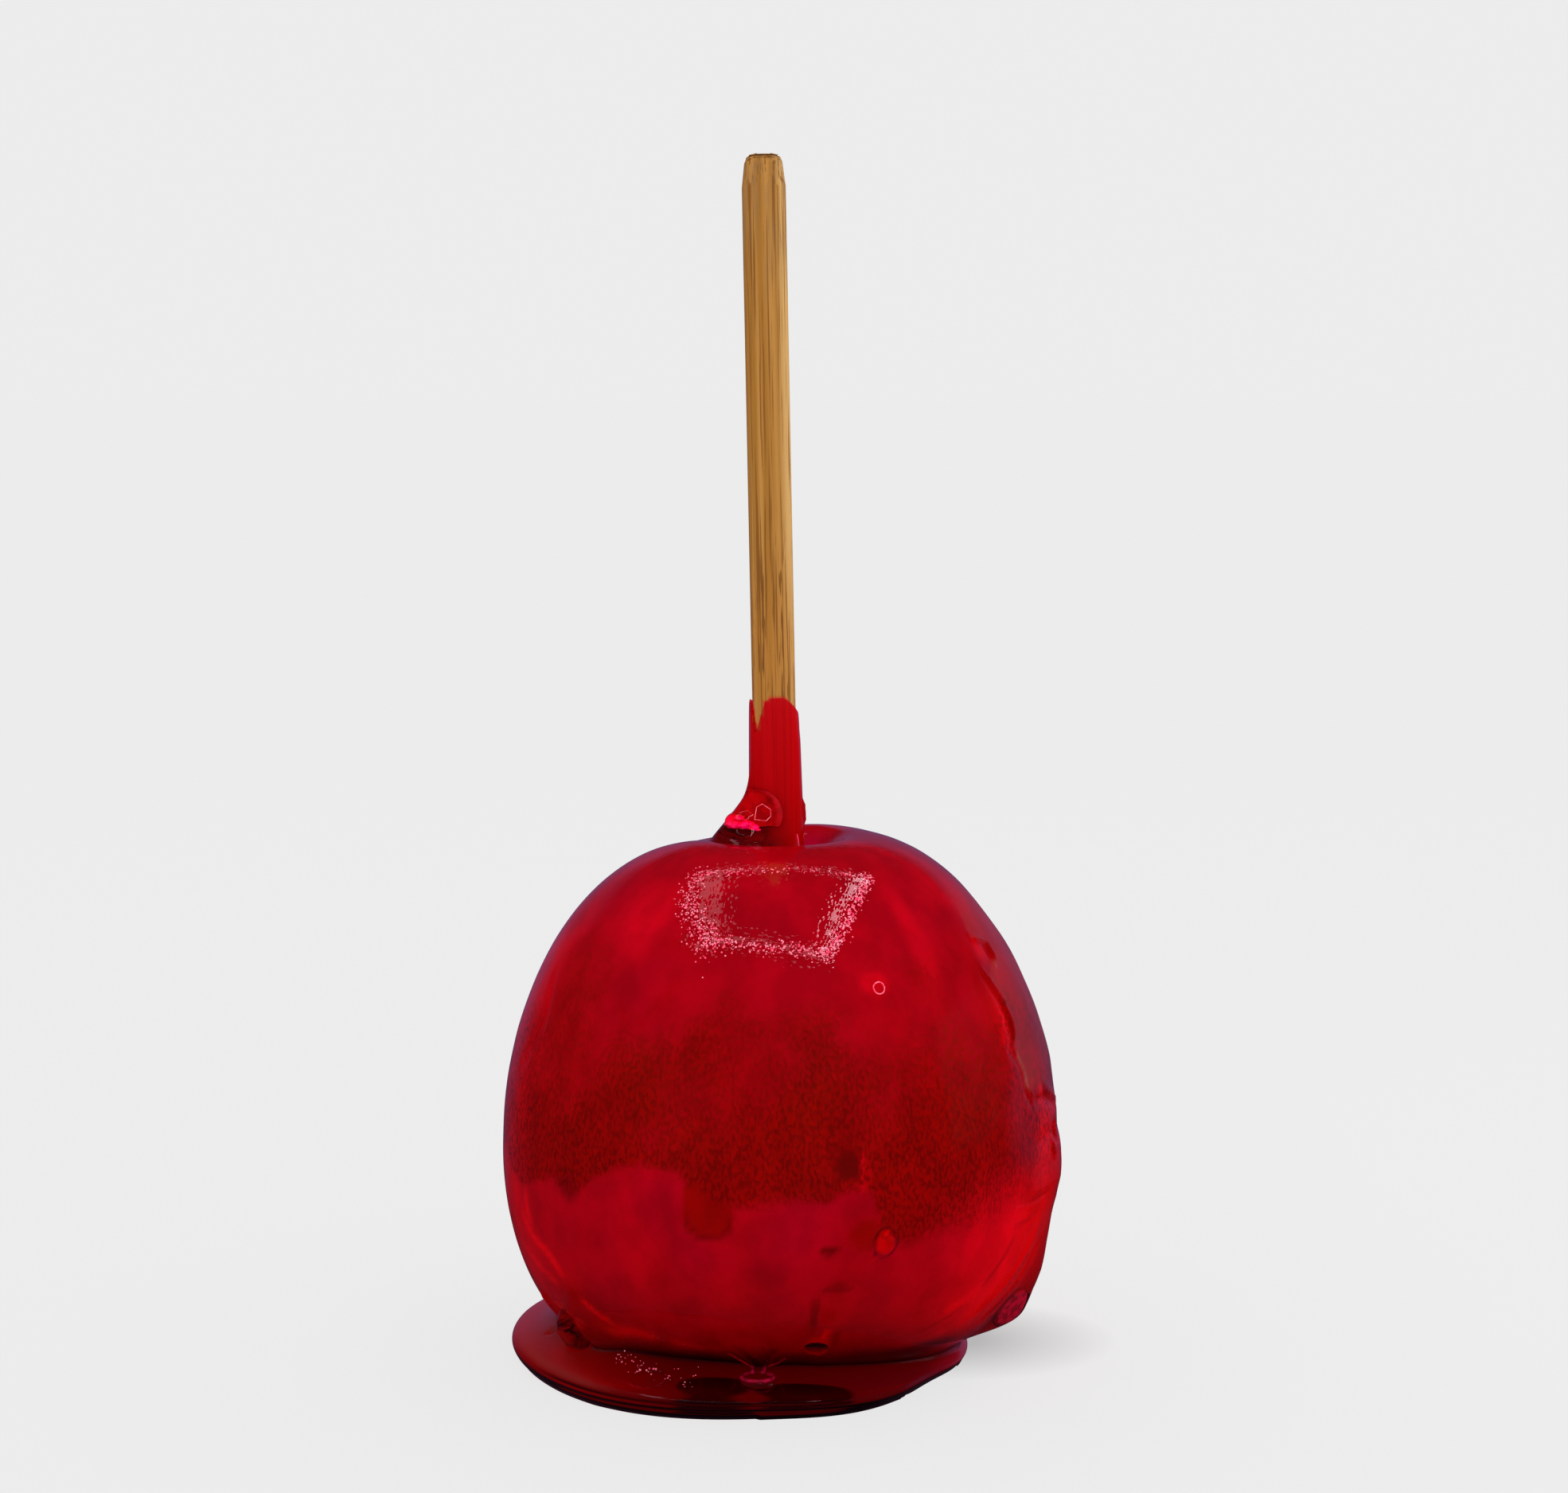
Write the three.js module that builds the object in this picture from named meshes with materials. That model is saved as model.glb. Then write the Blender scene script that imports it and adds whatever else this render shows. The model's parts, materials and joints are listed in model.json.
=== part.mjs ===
// Toffee apple: a whole apple on a bamboo stick, dipped in clear red toffee. The toffee has
// set as a collar up the stick, as a coat with runs down its sides, and as a flat foot where
// the apple was stood to cool.
//
// Millimetres, +Z up. The origin is on the resting plane, under the middle of the apple.
// Angles are in degrees, anticlockwise from above: 0 is the right, 90 the back, 180 the left
// and 270 the front.

import * as THREE from 'three';

// ---- driving dimensions ---------------------------------------------------------------

const TOTAL_HEIGHT = 166.6;

// The coated apple. Left and right differ a little, and so do its sides and its front.
const COAT = {
  widest: 31,                                  // height of the widest level
  crest: 73.5,                                 // height of the ring round the stalk hollow
  crestRadius: 10.8,
  crestDip: { angle: 140, halfWidth: 85, depth: 1.7 },
  reach: { left: 38.4, right: 38.5 },          // radius at the widest level
  shoulder: { left: 1.92, right: 2.0 },        // superellipse exponent above it
  underRadius: { side: 20, front: 10 },        // radius where the underside would end
  underHeight: 1,
  belly: { side: 2.2, front: 1.9 },            // superellipse exponent below it
};
const COAT_WALL = 1.5;                         // coat surface to apple skin
const FIT_GAP = 0.25;                          // clearance between separate pieces
const APPLE_BASE = 3.2;                        // lowest ring of the apple, over the foot
const APPLE_HOLLOW = 4;                        // depth of the hollow under the apple
const STALK_HOLLOW = { depth: 5.5, slope: 2 }; // the apple's own hollow round the stick

// The stick is a square bamboo bar with well rounded corners, pushed in a little off plumb.
const STICK = { half: 2.95, squareness: 4, turn: 3, lean: 1.1, plumbHeight: 83, bottom: 17, bevel: 0.5 };
const STICK_TIP = { taper: 4.4, taperHalf: 2.65, round: 0.7, roundHalf: 1.8 };

// The toffee film that climbed the stick, thicker towards the apple, with one pointed notch.
const COLLAR = { top: 92.7, film: 0.32, thickening: 0.02, rim: 0.2 };
const COLLAR_NOTCH = { angle: 229, halfWidth: 22, depth: 4.4, sharpness: 1.2 };
const COLLAR_ARCH = { angle: 80, depth: 1.6 };
// From the crest in to the collar, as radius and height over the crest: the plain hollow, whose
// points keep a share of the crest's sag, and the lump of toffee that ran back down on one side
// and set against the foot of the collar.
const HOLLOW = [[8.3, -1.2, 1], [6.4, -3.4, 0], [5.0, -4.2, 0]];
const HOLLOW_END = { out: 0, height: -2 };
const LUMP = { angle: 215, halfWidth: 82, fullness: 0.7 };
const LUMP_SLOPE = [[9.8, -0.7], [9.0, 0.8], [7.2, 3.0]];
const LUMP_END = { out: 0.6, height: 5.8 };

// The set pool under the apple: a round foot, off centre to the left, that spread a little
// further in some directions and less in others.
const FOOT = { centre: [-5.0, -0.2], radius: 32.4 };
const FOOT_SWELLS = [
  { angle: 236, halfWidth: 36, reach: 0.9 },
  { angle: 290, halfWidth: 24, reach: 1.1 },
  { angle: 322, halfWidth: 20, reach: -1.0 },
  { angle: 70, halfWidth: 34, reach: 1.2 },
  { angle: 118, halfWidth: 20, reach: -0.8 },
];
const FOOT_EDGE = { undercut: 1.3, setback: 0.9, heightShare: 0.62 };
const FOOT_TOP = { inward: 0.6, rise: 0.35 };  // the slack middle of its top, as shares of the way in
const CREASE = { height: 4.0, toLeft: 1.6, toFront: 0.9 };

// Runs that slid down the coat and set: angle, the heights between which each one lies, its
// width, and how far it stands proud near its tip.
const RUNS = [
  { angle: 356, top: 42, tip: 3.1, width: 17, proud: 5.7 },
  { angle: 217, top: 20, tip: 5.4, width: 8, proud: 3.4 },
  { angle: 266, top: 18, tip: 4.8, width: 6, proud: 2.2 },
  { angle: 285, top: 20, tip: 5.4, width: 6, proud: 1.6 },
  { angle: 40, top: 30, tip: 4.2, width: 9, proud: 3.4 },
  { angle: 92, top: 24, tip: 3.8, width: 7, proud: 2.4 },
  { angle: 138, top: 36, tip: 5.4, width: 10, proud: 3.0 },
];
const RUN_TIP = { growth: 3, round: 1.2 };
// A second layer of toffee over the right side: where its front edge lies at the top and at
// the bottom, and the nub in which it ends.
const SHEET = { top: 60, bottom: 36, topAngle: 318, bottomAngle: 338, span: 80, proud: 0.5 };
const SHEET_EDGE = { wave: 4, waveRate: 9, frontFade: 5, backFade: 25, endFade: 3 };
const NUB = { angle: 353, height: 30, halfWidth: 13, halfHeight: 8.5, proud: 1.7 };

// ---- mesh fineness --------------------------------------------------------------------

const COAT_COLUMNS = 80;
const APPLE_COLUMNS = 40;
const STICK_COLUMNS = 24;
const ROWS = { foot: 8, belly: 12, shoulder: 12, crown: 8, collar: 5, bore: 2 };
const FRUIT_ROWS = { belly: 6, shoulder: 8, hollow: 3 };

// ---- small helpers --------------------------------------------------------------------

const radians = (degrees) => THREE.MathUtils.degToRad(degrees);
const mix = THREE.MathUtils.lerp;
const cosine = (degrees) => Math.cos(radians(degrees));
const sine = (degrees) => Math.sin(radians(degrees));

// A smooth hump that is 1 at zero and 0 from one unit away
const hump = (x) => (Math.abs(x) < 1 ? 0.5 + 0.5 * Math.cos(Math.PI * x) : 0);
const ramp = (x) => THREE.MathUtils.smoothstep(x, 0, 1);

// The shortest way round from one angle to another, between -180 and 180
const turnBetween = (from, to) => THREE.MathUtils.euclideanModulo(to - from + 180, 360) - 180;

// Left-to-right and side-to-front blends, as the coat's shape changes round it
const leftToRight = ({ left, right }, angle) => mix(left, right, 0.5 + 0.5 * cosine(angle));
const sideToFront = ({ side, front }, angle) => mix(side, front, sine(angle) ** 2);

// A closed skin through rings of points, each ring one level of the surface from its first
// pole to its last. Rings run anticlockwise and the first is the lowest outside.
function closedSkin(firstPole, rings, lastPole) {
  const columns = rings[0].length;
  const positions = [firstPole, ...rings.flat(), lastPole].flatMap((point) => point);
  const corner = (ring, column) => 1 + ring * columns + (column % columns);
  const last = rings.length - 1;
  const index = [];
  for (let column = 0; column < columns; column += 1) {
    index.push(0, corner(0, column + 1), corner(0, column));
    for (let ring = 0; ring < last; ring += 1) {
      const a = corner(ring, column);
      const b = corner(ring, column + 1);
      const c = corner(ring + 1, column + 1);
      const d = corner(ring + 1, column);
      index.push(a, b, c, a, c, d);
    }
    index.push(corner(last, column), corner(last, column + 1), 1 + rings.length * columns);
  }
  const geometry = new THREE.BufferGeometry();
  geometry.setAttribute('position', new THREE.Float32BufferAttribute(positions, 3));
  geometry.setIndex(index);
  geometry.computeVertexNormals();
  return geometry;
}

// Turns one profile for each angle into rings. A profile is a list of [radius, height,
// follow], and follow says how much the point keeps to the leaning stick, from 0 to 1.
function ringsFromProfiles(columns, profileAt) {
  const profiles = Array.from({ length: columns }, (_, column) => {
    const angle = (column / columns) * 360;
    return profileAt(angle).map(([radius, height, follow = 0]) => [
      radius * cosine(angle) + follow * stickOffset(height),
      radius * sine(angle),
      height,
    ]);
  });
  return profiles[0].map((_, row) => profiles.map((profile) => profile[row]));
}

// A smooth curve through a few profile points, cut into equal steps of its parameter
function smoothProfile(points, rows) {
  const corners = points.map(([radius, height]) => new THREE.Vector2(radius, height));
  const curve = new THREE.SplineCurve(corners);
  return curve.getPoints(rows).map(({ x, y }) => [x, y]);
}

// ---- stick ----------------------------------------------------------------------------

// The stick leans to the left on its way up, and crosses the apple's axis at one height
function stickOffset(height) {
  return -(height - STICK.plumbHeight) * Math.tan(radians(STICK.lean));
}

// Distance from the stick's middle to the side of a rounded square, in one direction
function squareReach(angle, half) {
  const across = Math.abs(cosine(angle - STICK.turn)) ** STICK.squareness;
  const along = Math.abs(sine(angle - STICK.turn)) ** STICK.squareness;
  return half / (across + along) ** (1 / STICK.squareness);
}

function buildStick() {
  const levels = [
    [STICK.half - STICK.bevel, STICK.bottom],
    [STICK.half, STICK.bottom + STICK.bevel],
    [STICK.half, TOTAL_HEIGHT - STICK_TIP.taper],
    [STICK_TIP.taperHalf, TOTAL_HEIGHT - STICK_TIP.round],
    [STICK_TIP.roundHalf, TOTAL_HEIGHT],
  ];
  const rings = ringsFromProfiles(STICK_COLUMNS, (angle) => (
    levels.map(([half, height]) => [squareReach(angle, half), height, 1])
  ));
  const endPoint = (height) => [stickOffset(height), 0, height];
  return closedSkin(endPoint(STICK.bottom), rings, endPoint(TOTAL_HEIGHT));
}

// ---- the rounded body that apple, cavity and coat share --------------------------------

// The crest sags a little towards the back left
function crestHeight(angle) {
  const { angle: middle, halfWidth, depth } = COAT.crestDip;
  return COAT.crest - depth * hump(turnBetween(middle, angle) / halfWidth);
}

// One point of the body's side. Above the widest level sweep runs from 0 to 1 at the crest,
// and below it to -1 at the underside. Inset draws the surface in towards the apple's core.
function bodyPoint(angle, sweep, inset, underHeight) {
  const reach = leftToRight(COAT.reach, angle) - inset;
  const up = sweep >= 0;
  const exponent = up ? leftToRight(COAT.shoulder, angle) : sideToFront(COAT.belly, angle);
  const endRadius = up ? COAT.crestRadius : sideToFront(COAT.underRadius, angle);
  const endHeight = up ? crestHeight(angle) - inset : underHeight;
  const quarter = Math.abs(sweep) * (Math.PI / 2);
  const outward = Math.abs(Math.cos(quarter)) ** (2 / exponent);
  const lengthwise = Math.sin(quarter) ** (2 / exponent);
  return [mix(endRadius, reach, outward), mix(COAT.widest, endHeight, lengthwise)];
}

// The apple's side and stalk hollow, from its lowest ring to the rim of the stick's hole.
// Grow is 0 for the apple itself and the fit gap for the cavity round it.
function fruitProfile(angle, grow) {
  const inset = COAT_WALL - grow;
  const base = APPLE_BASE - grow;
  const profile = [];
  for (let step = FRUIT_ROWS.belly; step > 0; step -= 1) {
    profile.push(bodyPoint(angle, -step / FRUIT_ROWS.belly, inset, base));
  }
  for (let step = 0; step <= FRUIT_ROWS.shoulder; step += 1) {
    profile.push(bodyPoint(angle, step / FRUIT_ROWS.shoulder, inset, base));
  }
  const rim = squareReach(angle, STICK.half + FIT_GAP);
  const crest = crestHeight(angle) - inset;
  const hollow = smoothProfile([
    [COAT.crestRadius, crest],
    [mix(COAT.crestRadius, rim, 0.5), crest - STALK_HOLLOW.slope],
    [rim, COAT.crest - inset - STALK_HOLLOW.depth],
  ], FRUIT_ROWS.hollow);
  hollow.slice(1).forEach(([radius, height], step) => {
    profile.push([radius, height, (step + 1) / FRUIT_ROWS.hollow]);
  });
  return profile;
}

function buildApple() {
  const holeBottom = STICK.bottom - FIT_GAP;
  const rings = ringsFromProfiles(APPLE_COLUMNS, (angle) => [
    ...fruitProfile(angle, 0),
    [squareReach(angle, STICK.half + FIT_GAP), holeBottom, 1],
  ]);
  const bottomPole = [0, 0, APPLE_BASE + APPLE_HOLLOW];
  return closedSkin(bottomPole, rings, [stickOffset(holeBottom), 0, holeBottom]);
}

// ---- toffee ---------------------------------------------------------------------------

// How far the foot reaches from the apple's axis, in one direction
function footReach(angle) {
  const [x, y] = FOOT.centre;
  const towards = x * cosine(angle) + y * sine(angle);
  const circle = towards + Math.sqrt(FOOT.radius ** 2 - x * x - y * y + towards * towards);
  return FOOT_SWELLS.reduce((reach, swell) => (
    reach + swell.reach * hump(turnBetween(swell.angle, angle) / swell.halfWidth)
  ), circle);
}

// Height of the crease where the coat meets the top of the foot
function creaseHeight(angle) {
  return CREASE.height - CREASE.toLeft * cosine(angle) - CREASE.toFront * sine(angle);
}

// The crease's place on the body's lower curve, as a sweep
function creaseSweep(angle) {
  const drop = (COAT.widest - creaseHeight(angle)) / (COAT.widest - COAT.underHeight);
  const exponent = sideToFront(COAT.belly, angle);
  return -Math.asin(drop ** (exponent / 2)) / (Math.PI / 2);
}

// How far the runs, the second layer and its nub stand out from the plain coat
function proudOfCoat(angle, radius, height) {
  const runs = RUNS.map((run) => {
    const across = (radians(turnBetween(run.angle, angle)) * radius) / (run.width / 2);
    const along = (run.top - height) / (run.top - run.tip);
    const tipRound = Math.sqrt(THREE.MathUtils.clamp((height - run.tip) / RUN_TIP.round, 0, 1));
    return along > 0 ? run.proud * hump(across) * along ** RUN_TIP.growth * tipRound : 0;
  });
  const fall = (SHEET.top - height) / (SHEET.top - SHEET.bottom);
  const wave = SHEET_EDGE.wave * Math.sin(fall * SHEET_EDGE.waveRate);
  const front = mix(SHEET.topAngle, SHEET.bottomAngle, fall) + wave;
  const pastFront = turnBetween(front, angle);
  const inside = ramp(pastFront / SHEET_EDGE.frontFade)
    * ramp((SHEET.span - pastFront) / SHEET_EDGE.backFade);
  const sheet = SHEET.proud * inside * ramp(SHEET_EDGE.endFade * (1 - Math.abs(2 * fall - 1)));
  const nub = NUB.proud * hump(turnBetween(NUB.angle, angle) / NUB.halfWidth)
    * hump((height - NUB.height) / NUB.halfHeight);
  return Math.max(...runs) + sheet + nub;
}

function coatPoint(angle, sweep) {
  const [radius, height] = bodyPoint(angle, sweep, 0, COAT.underHeight);
  return [radius + proudOfCoat(angle, radius, height), height];
}

// Underside and rounded edge of the foot, then its top in to the crease
function footProfile(angle) {
  const reach = footReach(angle);
  const crease = bodyPoint(angle, creaseSweep(angle), 0, COAT.underHeight);
  const edgeHeight = FOOT_EDGE.heightShare * crease[1];
  const shoulder = [reach - FOOT_EDGE.setback, edgeHeight];
  const contact = [reach - FOOT_EDGE.undercut, 0];
  const topMiddle = [
    mix(shoulder[0], crease[0], FOOT_TOP.inward),
    mix(edgeHeight, crease[1], FOOT_TOP.rise),
  ];
  const outline = [contact, [reach, edgeHeight / 2], shoulder, topMiddle, crease];
  return [[contact[0] / 2, 0], ...smoothProfile(outline, ROWS.foot).slice(0, -1)];
}

function bodyProfile(angle) {
  const lowest = creaseSweep(angle);
  const profile = [];
  for (let step = ROWS.belly; step > 0; step -= 1) {
    profile.push(coatPoint(angle, (lowest * step) / ROWS.belly));
  }
  for (let step = 0; step < ROWS.shoulder; step += 1) {
    profile.push(coatPoint(angle, step / ROWS.shoulder));
  }
  return profile;
}

// From the crest down into the stalk hollow and up again to the collar. Where the lump lies
// the hollow is filled, and the surface climbs from a crease straight up to the collar.
function crownProfile(angle) {
  const lump = hump(turnBetween(LUMP.angle, angle) / LUMP.halfWidth) ** LUMP.fullness;
  const film = collarReach(angle, COAT.crest);
  const hollow = [...HOLLOW, [film + HOLLOW_END.out, HOLLOW_END.height]];
  const slope = [...LUMP_SLOPE, [film + LUMP_END.out, LUMP_END.height]];
  const sag = crestHeight(angle) - COAT.crest;
  const points = hollow.map(([radius, height, share = 0], i) => [
    mix(radius, slope[i][0], lump),
    COAT.crest + mix(height + share * sag, slope[i][1], lump),
  ]);
  points.unshift([COAT.crestRadius, COAT.crest + sag]);
  return smoothProfile(points, ROWS.crown).map(([radius, height], step) => (
    [radius, height, step / ROWS.crown]
  ));
}

function collarReach(angle, height) {
  const film = COLLAR.film + COLLAR.thickening * (COLLAR.top - height);
  return squareReach(angle, STICK.half + FIT_GAP + film);
}

// Upper edge of the film on the stick: a low arch, broken by a pointed notch
function collarTop(angle) {
  const notch = Math.max(0, 1 - Math.abs(turnBetween(COLLAR_NOTCH.angle, angle)) / COLLAR_NOTCH.halfWidth);
  const arch = 0.5 + 0.5 * cosine(angle - COLLAR_ARCH.angle);
  return COLLAR.top - COLLAR_NOTCH.depth * notch ** COLLAR_NOTCH.sharpness - COLLAR_ARCH.depth * arch;
}

// Outside of the collar, its rim, and the bore down to the apple's stalk hollow
function collarProfile(angle, startHeight) {
  const top = collarTop(angle);
  const profile = [];
  for (let step = 1; step <= ROWS.collar; step += 1) {
    const height = mix(startHeight, top, step / ROWS.collar);
    profile.push([collarReach(angle, height), height, 1]);
  }
  const bore = squareReach(angle, STICK.half + FIT_GAP);
  profile.push([(bore + collarReach(angle, top)) / 2, top + COLLAR.rim, 1]);
  for (let step = 0; step < ROWS.bore; step += 1) {
    profile.push([bore, mix(top, COAT.crest - COAT_WALL, step / ROWS.bore), 1]);
  }
  return profile;
}

function toffeeProfile(angle) {
  const crown = crownProfile(angle);
  const cavity = fruitProfile(angle, FIT_GAP).reverse();
  return [
    ...footProfile(angle),
    ...bodyProfile(angle),
    ...crown,
    ...collarProfile(angle, crown.at(-1)[1]),
    ...cavity,
  ];
}

function buildToffee() {
  const rings = ringsFromProfiles(COAT_COLUMNS, toffeeProfile);
  const cavityPole = [0, 0, APPLE_BASE - FIT_GAP + APPLE_HOLLOW];
  return closedSkin([0, 0, 0], rings, cavityPole);
}

// ---- the three pieces -----------------------------------------------------------------

const materials = {
  bamboo: new THREE.MeshStandardMaterial({ color: 0xb27e34, roughness: 0.6, metalness: 0 }),
  skin: new THREE.MeshStandardMaterial({ color: 0xb8862c, roughness: 0.4, metalness: 0 }),
  toffee: new THREE.MeshStandardMaterial({ color: 0xa0040f, roughness: 0.05, metalness: 0 }),
};

function piece(name, geometry, material) {
  const mesh = new THREE.Mesh(geometry, material);
  mesh.name = name;
  return mesh;
}

const group = new THREE.Group();
group.add(
  piece('stick', buildStick(), materials.bamboo),
  piece('apple', buildApple(), materials.skin),
  piece('toffee', buildToffee(), materials.toffee),
);

export default group;
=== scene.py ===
# %% [markdown]
# # Toffee apple
#
# A toffee apple is a whole apple on a stick, dipped in boiled sugar that sets as clear red glass.
# The real one is three things: a bamboo stick, an apple, and the toffee that holds them together.
# Each of them is made here as one piece, round a fixed frame that gives its place and its size.
#
# Everything is in metres, +Z is up, and the sweet stands on z = 0 with its axis on x = y = 0.
# Angles go anticlockwise from above, in degrees: 0 is the right, 90 the back, 270 the front.

# %% The fixed frame
import json
import math
import bmesh
import bpy
import numpy as np
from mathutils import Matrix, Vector, noise
from mathutils.bvhtree import BVHTree

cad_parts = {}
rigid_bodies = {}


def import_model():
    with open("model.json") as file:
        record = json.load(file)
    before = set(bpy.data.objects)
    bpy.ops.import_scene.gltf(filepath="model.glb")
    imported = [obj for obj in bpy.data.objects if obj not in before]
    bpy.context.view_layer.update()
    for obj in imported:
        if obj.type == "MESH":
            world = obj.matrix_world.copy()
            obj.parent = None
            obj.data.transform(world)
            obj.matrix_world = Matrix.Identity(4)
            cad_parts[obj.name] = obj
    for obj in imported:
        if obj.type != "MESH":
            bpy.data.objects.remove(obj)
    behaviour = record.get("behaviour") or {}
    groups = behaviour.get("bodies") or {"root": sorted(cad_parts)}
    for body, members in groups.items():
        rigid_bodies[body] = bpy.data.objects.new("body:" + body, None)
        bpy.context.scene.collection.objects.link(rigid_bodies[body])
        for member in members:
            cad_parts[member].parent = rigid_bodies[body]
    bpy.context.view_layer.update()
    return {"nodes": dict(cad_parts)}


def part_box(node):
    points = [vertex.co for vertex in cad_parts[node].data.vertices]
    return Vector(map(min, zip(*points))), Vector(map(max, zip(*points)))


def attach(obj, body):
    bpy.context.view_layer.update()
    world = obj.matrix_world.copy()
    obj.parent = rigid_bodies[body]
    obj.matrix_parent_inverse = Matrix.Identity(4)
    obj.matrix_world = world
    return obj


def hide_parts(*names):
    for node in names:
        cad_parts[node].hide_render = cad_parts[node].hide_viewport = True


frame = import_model()
MM = 0.001

# %% [markdown]
# Blender's operators act on what is selected, so a few helpers keep that in hand: one piece is
# selected alone, its faces are picked by their place, and an edit-mode step runs between an
# entry and an exit. Picking by place, not by number, still works after the mesh has changed.


# %% Helpers for working as by hand
def alone(piece):
    """Makes piece the only selected object, and the active one."""
    bpy.ops.object.select_all(action="DESELECT")
    piece.select_set(True)
    bpy.context.view_layer.objects.active = piece


def pick(piece, test, kind="faces"):
    """In edit mode, selects the faces, edges or vertices that pass a test and nothing else."""
    bpy.ops.mesh.select_all(action="DESELECT")
    mesh = bmesh.from_edit_mesh(piece.data)
    for part in getattr(mesh, kind):
        if test(part):
            part.select_set(True)
    mesh.select_flush_mode()
    bmesh.update_edit_mesh(piece.data)


def refine(piece, levels):
    """Rounds a mesh with that many steps of subdivision."""
    alone(piece)
    bpy.ops.object.modifier_add(type="SUBSURF")
    piece.modifiers[-1].levels = levels
    piece.modifiers[-1].render_levels = levels
    bpy.ops.object.modifier_apply(modifier=piece.modifiers[-1].name)


def triangles(piece):
    return sum(len(p.vertices) - 2 for p in piece.data.polygons)


# %% [markdown]
# Fine relief and painted colour are given to all of a mesh's points at once, as columns of
# numbers. It is what a sculpting brush and a paint brush do, but it can be repeated exactly.


# %% Reading and writing a mesh's points
def points_of(piece):
    """The mesh's vertices as rows of x, y, z."""
    places = np.empty(len(piece.data.vertices) * 3)
    piece.data.vertices.foreach_get("co", places)
    return places.reshape(-1, 3)


def normals_of(piece):
    """The mesh's vertex normals as rows of x, y, z."""
    directions = np.empty(len(piece.data.vertices) * 3)
    piece.data.vertex_normals.foreach_get("vector", directions)
    return directions.reshape(-1, 3)


def put_points(piece, places):
    piece.data.vertices.foreach_set("co", places.ravel())
    piece.data.update()


def keep_values(piece, name, values, kind="FLOAT", field="value"):
    """Stores one value or colour for each vertex, for the material to read."""
    store = piece.data.attributes.new(name, kind, "POINT")
    store.data.foreach_set(field, np.ascontiguousarray(values, np.float32).ravel())


# %% [markdown]
# The frame holds every piece as loose flat triangles. A copy of one is a good start for a piece
# whose form is set there already: its doubled corners are merged, its triangles are paired back
# into quads, and subdivision then rounds it without moving it off its place.


# %% A clean copy of a frame piece
def copy_of(node, name):
    """A merged quad copy of a frame node, free of the frame."""
    alone(frame["nodes"][node])
    bpy.ops.object.duplicate()
    piece = bpy.context.object
    bpy.ops.object.parent_clear(type="CLEAR_KEEP_TRANSFORM")
    for key in list(piece.keys()):
        del piece[key]
    piece.name = name
    piece.data.name = name
    piece.data.materials.clear()
    bpy.ops.mesh.customdata_custom_splitnormals_clear()
    bpy.ops.object.mode_set(mode="EDIT")
    bpy.ops.mesh.select_all(action="SELECT")
    bpy.ops.mesh.remove_doubles(threshold=0.001 * MM)
    bpy.ops.mesh.tris_convert_to_quads(face_threshold=math.pi, shape_threshold=math.pi)
    bpy.ops.mesh.mark_sharp(clear=True)
    bpy.ops.object.mode_set(mode="OBJECT")
    return piece


# %% [markdown]
# ## Places on the sweet
#
# Marks and runs are placed as one would point at them: by the angle round the sweet and the height
# in millimetres, or on the flat foot by x and y. A ray sent in from outside finds the surface there.
# A smooth line through a few such places is the path of a run, a ridge or a seam.

# %% Finding places on a surface
FAR = 0.3


def surface_of(piece):
    """A search tree over a piece's faces."""
    mesh = bmesh.new()
    mesh.from_mesh(piece.data)
    tree = BVHTree.FromBMesh(mesh)
    mesh.free()
    return tree


def at_side(tree, angle, height):
    """The outermost place at an angle in degrees and a height in mm."""
    outward = Vector((math.cos(math.radians(angle)), math.sin(math.radians(angle)), 0))
    place, _, _, _ = tree.ray_cast(outward * FAR + Vector((0, 0, height * MM)), -outward)
    return place


def from_above(tree, x, y):
    """The topmost place over a point x, y in mm."""
    place, _, _, _ = tree.ray_cast(Vector((x * MM, y * MM, FAR)), Vector((0, 0, -1)))
    return place


# %% Smooth lines on a surface
def smooth_line(corners, steps=6):
    """A curve through all its corners, cut into equal steps between each two of them."""
    corners = np.array(corners, float)
    first = 2 * corners[0] - corners[1]
    last = 2 * corners[-1] - corners[-2]
    ends = np.vstack([first, corners, last])
    line = []
    for a, b, c, d in zip(ends, ends[1:], ends[2:], ends[3:]):
        for t in np.arange(steps) / steps:
            bend = (2 * a - 5 * b + 4 * c - d) * t**2 + (3 * b - a - 3 * c + d) * t**3
            line.append(b + 0.5 * ((c - a) * t + bend))
    return np.array(line + [corners[-1]])


def line_on(tree, find, *corners):
    """A smooth line laid on a surface, its corners given in the way that find reads them."""
    return np.array([find(tree, *place) for place in smooth_line(corners)])


# %% Masks
def fade(value, start, end):
    """Goes smoothly from 0 at start to 1 at end."""
    share = np.clip((value - start) / (end - start), 0, 1)
    return share * share * (3 - 2 * share)


def soft_line(places, line, width, ends=0.2):
    """A mask that is 1 on the line and fades over its width in mm and towards its ends."""
    nearest = np.full(len(places), np.inf)
    along = np.zeros(len(places))
    for step, (a, b) in enumerate(zip(line, line[1:])):
        part = np.clip((places - a) @ (b - a) / max((b - a) @ (b - a), 1e-15), 0, 1)
        gap = np.linalg.norm(places - a - part[:, None] * (b - a), axis=1) / MM
        closer = gap < nearest
        nearest[closer] = gap[closer]
        along[closer] = (step + part[closer]) / (len(line) - 1)
    return np.exp(-((nearest / width) ** 2)) * fade(np.minimum(along, 1 - along), 0, ends)


def oval_reach(places, angle, height, wide, high, power=2):
    """How far out places lie in an oval on the side, 1 being its outline. Sizes are halves, mm."""
    turn = turns_from(angle, places)
    across = np.radians(turn) * np.hypot(places[:, 0], places[:, 1]) / MM / wide
    up = (places[:, 2] / MM - height) / high
    return (np.abs(across) ** power + np.abs(up) ** power) ** (1 / power)


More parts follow.
